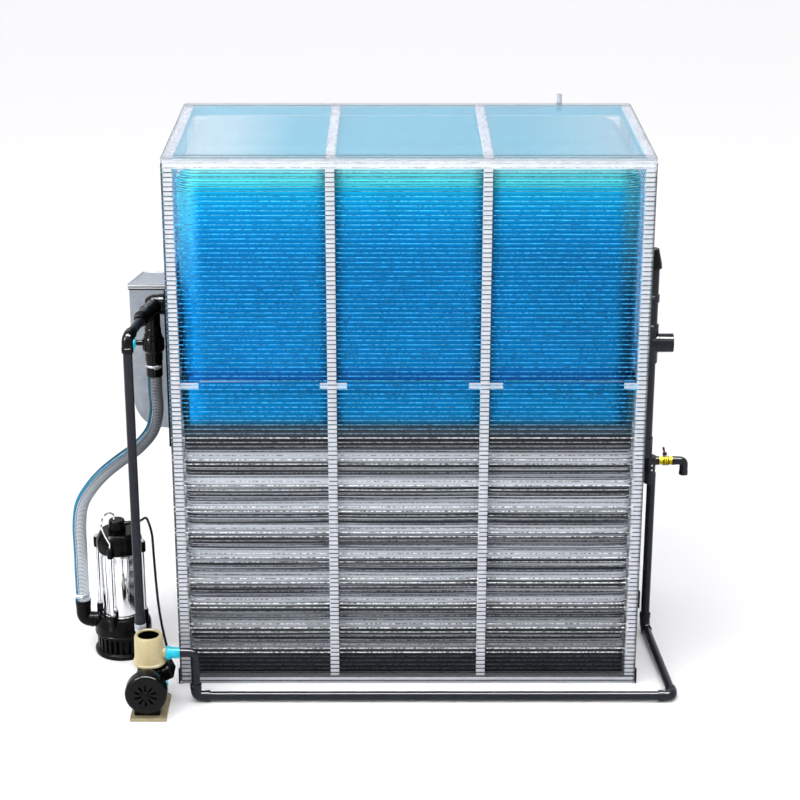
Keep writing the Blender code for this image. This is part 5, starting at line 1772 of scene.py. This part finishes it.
ear = PUMP + Vector((ROD_RADIUS * math.cos(math.radians(-105)), ROD_RADIUS * math.sin(math.radians(-105)), 0))
bail_stops = [
    ear + Vector((0, 0, 0.4406)), ear + Vector((0, 0, 0.448)), ear + Vector((0, 0, 0.458)),
    PUMP + Vector((-0.040, -0.082, 0.492)), PUMP + Vector((-0.052, -0.070, 0.525)),
    PUMP + Vector((-0.046, -0.052, 0.550)), PUMP + Vector((-0.030, -0.030, 0.556)),
    PUMP + Vector((-0.017, -0.014, 0.545)), PUMP + Vector((-0.014, -0.010, 0.533)),
    PUMP + Vector((-0.014, -0.010, 0.526)), PUMP + Vector((-0.014, -0.010, 0.5183)),
]
pipe("bail_wire", flowing(bail_stops, 0.004), 0.0032, steel, sides=20, stands_for="lifting_bail")
print("pump pieces:", named("pump", "strainer", "tie", "cap"))

# %% [markdown]
# ## Booster pump
# The booster lies on a beige plate: a round motor with a fan cover on its front, a beige priming pot
# on top and a teal union to the supply pipe. The fan cover's petal openings are cut right through
# with a Boolean, so the dark inside shows as it does on the real cover.

# %% Booster motor
BOOSTER_X, AXIS_Z = -0.900, 0.100
motor_place = (BOOSTER_X, 0, AXIS_Z)
turned(
    "motor_body",
    [
        (-0.6900, 0.0450), (-0.6800, 0.0500), (-0.6560, 0.0615), (-0.6540, 0.0620), (-0.6220, 0.0620),
        (-0.6200, 0.0612), (-0.6150, 0.0490), (-0.4600, 0.0490), (-0.4520, 0.0455), (-0.4460, 0.0400),
    ],
    motor_place, black_cast, "Y", stands_for="booster_motor", bevel=0.0006, sharp=25,
)
cover = turned(
    "fan_cover",
    [
        (-0.7000, 0.0655), (-0.6985, 0.0685), (-0.6950, 0.0715), (-0.6900, 0.0730), (-0.6550, 0.0730),
        (-0.6550, 0.0712), (-0.6890, 0.0712), (-0.6945, 0.0695), (-0.6975, 0.0650),
    ],
    motor_place, black_abs, "Y", sides=96, sharp=30,
)
print("motor:", named("motor"), "cover:", cover.name)

# %% Petal openings of the fan cover
petals = bpy.data.meshes.new("petal_openings")
petal_points, petal_faces = [], []
for number in range(10):
    angle = 2 * math.pi * (number + 0.5) / 10
    outline = []
    for step in range(16):
        part = 2 * math.pi * step / 16
        reach_out = 0.0260 - 0.0150 * math.cos(part)
        wide = 0.0054 * math.sin(part) * (0.45 + 0.55 * (reach_out - 0.011) / 0.030)
        outline.append((reach_out, wide))
    for y in (-0.7050, -0.6930):
        for reach_out, wide in outline:
            x = reach_out * math.cos(angle) - wide * math.sin(angle)
            z = reach_out * math.sin(angle) + wide * math.cos(angle)
            petal_points.append((BOOSTER_X + x, y, AXIS_Z + z))
    at = number * 32
    petal_faces += [(at + s, at + (s + 1) % 16, at + 16 + (s + 1) % 16, at + 16 + s) for s in range(16)]
    petal_faces += [tuple(at + s for s in reversed(range(16))), tuple(at + 16 + s for s in range(16))]
petals.from_pydata(petal_points, [], petal_faces)
petal_cutter = bpy.data.objects.new("petal_openings", petals)
scene.collection.objects.link(petal_cutter)
opening = cover.modifiers.new("openings", "BOOLEAN")
opening.solver = "EXACT"
opening.object = petal_cutter
bpy.context.view_layer.update()
cut_mesh = bpy.data.meshes.new_from_object(cover.evaluated_get(bpy.context.evaluated_depsgraph_get()))
cover.modifiers.clear()
cover.data = cut_mesh
bpy.data.objects.remove(petal_cutter, do_unlink=True)
print("faces of the cut cover:", len(cut_mesh.polygons))

# %% Hub, foot, neck and terminal box
turned(
    "fan_hub", [(-0.7018, 0.0085), (-0.7005, 0.0105), (-0.6980, 0.0110)], motor_place, black_cast, "Y",
    bevel=0.0004,
)
block(
    "motor_foot", (BOOSTER_X - 0.045, -0.680, 0.0123), (BOOSTER_X + 0.045, -0.515, 0.070), black_cast,
    bevel=0.004
)
turned(
    "motor_neck", [(0.110, 0.0440), (0.143, 0.0440), (0.1455, 0.0470), (0.1517, 0.0470)],
    (BOOSTER_X, PIPE_Y, 0), black_cast,
    bevel=0.0006,
)
turned("riser_seat", [(0.105, 0.0220), (0.1480, 0.0220), (0.1497, 0.0205)], RISER, black_cast, bevel=0.0005)
tilt = Matrix.Rotation(math.radians(-25), 3, "Y")
box_low, box_high = TERMINAL - Vector((0.024, 0.042, 0.022)), TERMINAL + Vector((0.024, 0.042, 0.0165))
block("terminal_box", box_low, box_high, black_cast, turn=tilt, bevel=0.005)
lid_centre = TERMINAL + tilt @ Vector((0, 0, 0.0195))
block("terminal_lid", *around(lid_centre, (0.0245, 0.0425, 0.0032)), black_abs, turn=tilt, bevel=0.0025)
for number, (x, y) in enumerate(((-0.017, -0.034), (0.017, -0.034), (-0.017, 0.034), (0.017, 0.034))):
    spot = lid_centre + tilt @ Vector((x, y, 0.0030))
    pipe(
        f"terminal_screw_{number + 1}", [spot, spot + tilt @ Vector((0, 0, 0.0014))], 0.0028, bolt_steel,
        sides=20,
    )
terminal_gland = evenly([TERMINAL + Vector((0, 0.030, 0)), TERMINAL + Vector((0, 0.065, 0))], 0.0008)
swept(
    "terminal_gland", terminal_gland, gland_radius(0.0090, 0.0020, 0.035, 0.0007, 0.02), black_abs,
    sides=32, sharp=25,
)
turned(
    "drain_cap", [(-0.8420, 0.0078), (-0.8330, 0.0078), (-0.8318, 0.0068)], (0, -0.600, 0.096), teal, "X",
    sides=32, bevel=0.0004,
)

# %% Plate, pot and union
plate_outline = [(-0.958, -0.702), (-0.832, -0.702), (-0.832, -0.522), (-0.847, -0.507), (-0.958, -0.507)]
plate_rings = [[Vector((x, y, z)) for x, y in plate_outline] for z in (0.0, 0.012)]
piece(
    "booster_plate", skinned("booster_plate", plate_rings), beige_shaded_plate, stands_for="booster_base",
    bevel=0.0022,
)
turned(
    "priming_pot",
    [
        (0.1520, 0.0525), (0.1535, 0.0555), (0.1560, 0.0570), (0.1620, 0.0570), (0.1640, 0.0545),
        (0.1740, 0.0517), (0.1780, 0.0512), (0.2440, 0.0500), (0.2520, 0.0498), (0.2570, 0.0486),
        (0.2605, 0.0462), (0.2620, 0.0430), (0.2620, 0.0395), (0.2605, 0.0374), (0.2570, 0.0370),
        (0.1850, 0.0368),
    ],
    (BOOSTER_X, PIPE_Y, 0), beige, sides=80, stands_for="booster_pot", sharp=28,
)
turned(
    "pot_lining", [(0.1852, 0.0366), (0.2545, 0.0368), (0.2560, 0.0366), (0.2560, 0.0355), (0.1870, 0.0353)],
    (BOOSTER_X, PIPE_Y, 0), black_cast, sides=80,
)
turned(
    "pot_port", [(-0.8560, 0.0205), (-0.8425, 0.0210), (-0.8410, 0.0202)], (0, PIPE_Y, PORT_Z), beige, "X",
    bevel=0.0005,
)
turned(
    "union_nut", [(-0.8407, 0.0230), (-0.8395, 0.0238), (-0.8275, 0.0238), (-0.8263, 0.0228)],
    (0, PIPE_Y, PORT_Z), teal, "X",
    stands_for="pot_union", bevel=0.0005,
)
for number in range(8):
    angle = 2 * math.pi * (number + 0.5) / 8
    outward = Vector((0, math.cos(angle), math.sin(angle)))
    centre = Vector((-0.8335, PIPE_Y, PORT_Z)) + outward * 0.0228
    block(
        f"nut_lobe_{number + 1}", *around(centre, (0.0058, 0.0040, 0.0018)), teal,
        turn=Matrix.Rotation(angle - math.pi / 2, 3, "X"), bevel=0.0010,
    )
turned(
    "union_sleeve",
    [(-0.8263, 0.0222), (-0.8225, 0.0222), (-0.8215, 0.0200), (-0.7945, 0.0191), (-0.7930, 0.0182)],
    (0, PIPE_Y, PORT_Z), teal, "X", bevel=0.0005,
)
print("booster pieces:", named("motor", "fan", "terminal", "pot", "union"))

# %% [markdown]
# ## Gas pipe and edge clips
# The gas pipe comes out of the back sheet and ends open above the roof. Small black clips hold the
# sheets together at their outer corners.

# %% Gas pipe
GAS_X, GAS_PIPE_Y = 0.553, 0.441
gas_route = rounded_bend(
    [(GAS_X, 0.4253, 1.800), (GAS_X, GAS_PIPE_Y, 1.800), (GAS_X, GAS_PIPE_Y, 1.9425)], 0.012
)
pipe("gas_pipe", gas_route, 0.0098, gas_white, sides=40, stands_for="gas_outlet")
turned(
    "gas_pipe_mouth",
    [(1.9400, 0.0098), (1.9430, 0.0100), (1.9450, 0.0096), (1.9450, 0.0070), (1.9427, 0.0068)],
    (GAS_X, GAS_PIPE_Y, 0), gas_white, sides=40,
)
turned(
    "gas_pipe_flange", [(0.4253, 0.0160), (0.4290, 0.0160), (0.4300, 0.0150)], (GAS_X, 0, 1.800), gas_white,
    "Y", bevel=0.0005,
)

# %% Edge clips
for name, x, z, tall in (
    ("clip_left", -0.8128, 0.030, 0.054), ("clip_right_low", 0.8128, 0.030, 0.054),
    ("clip_right_high", 0.8128, 0.330, 0.062),
):
    block(
        name, (x - 0.0026, -0.4275, z - tall / 2), (x + 0.0026, -0.4100, z + tall / 2), black_abs,
        bevel=0.0008,
    )
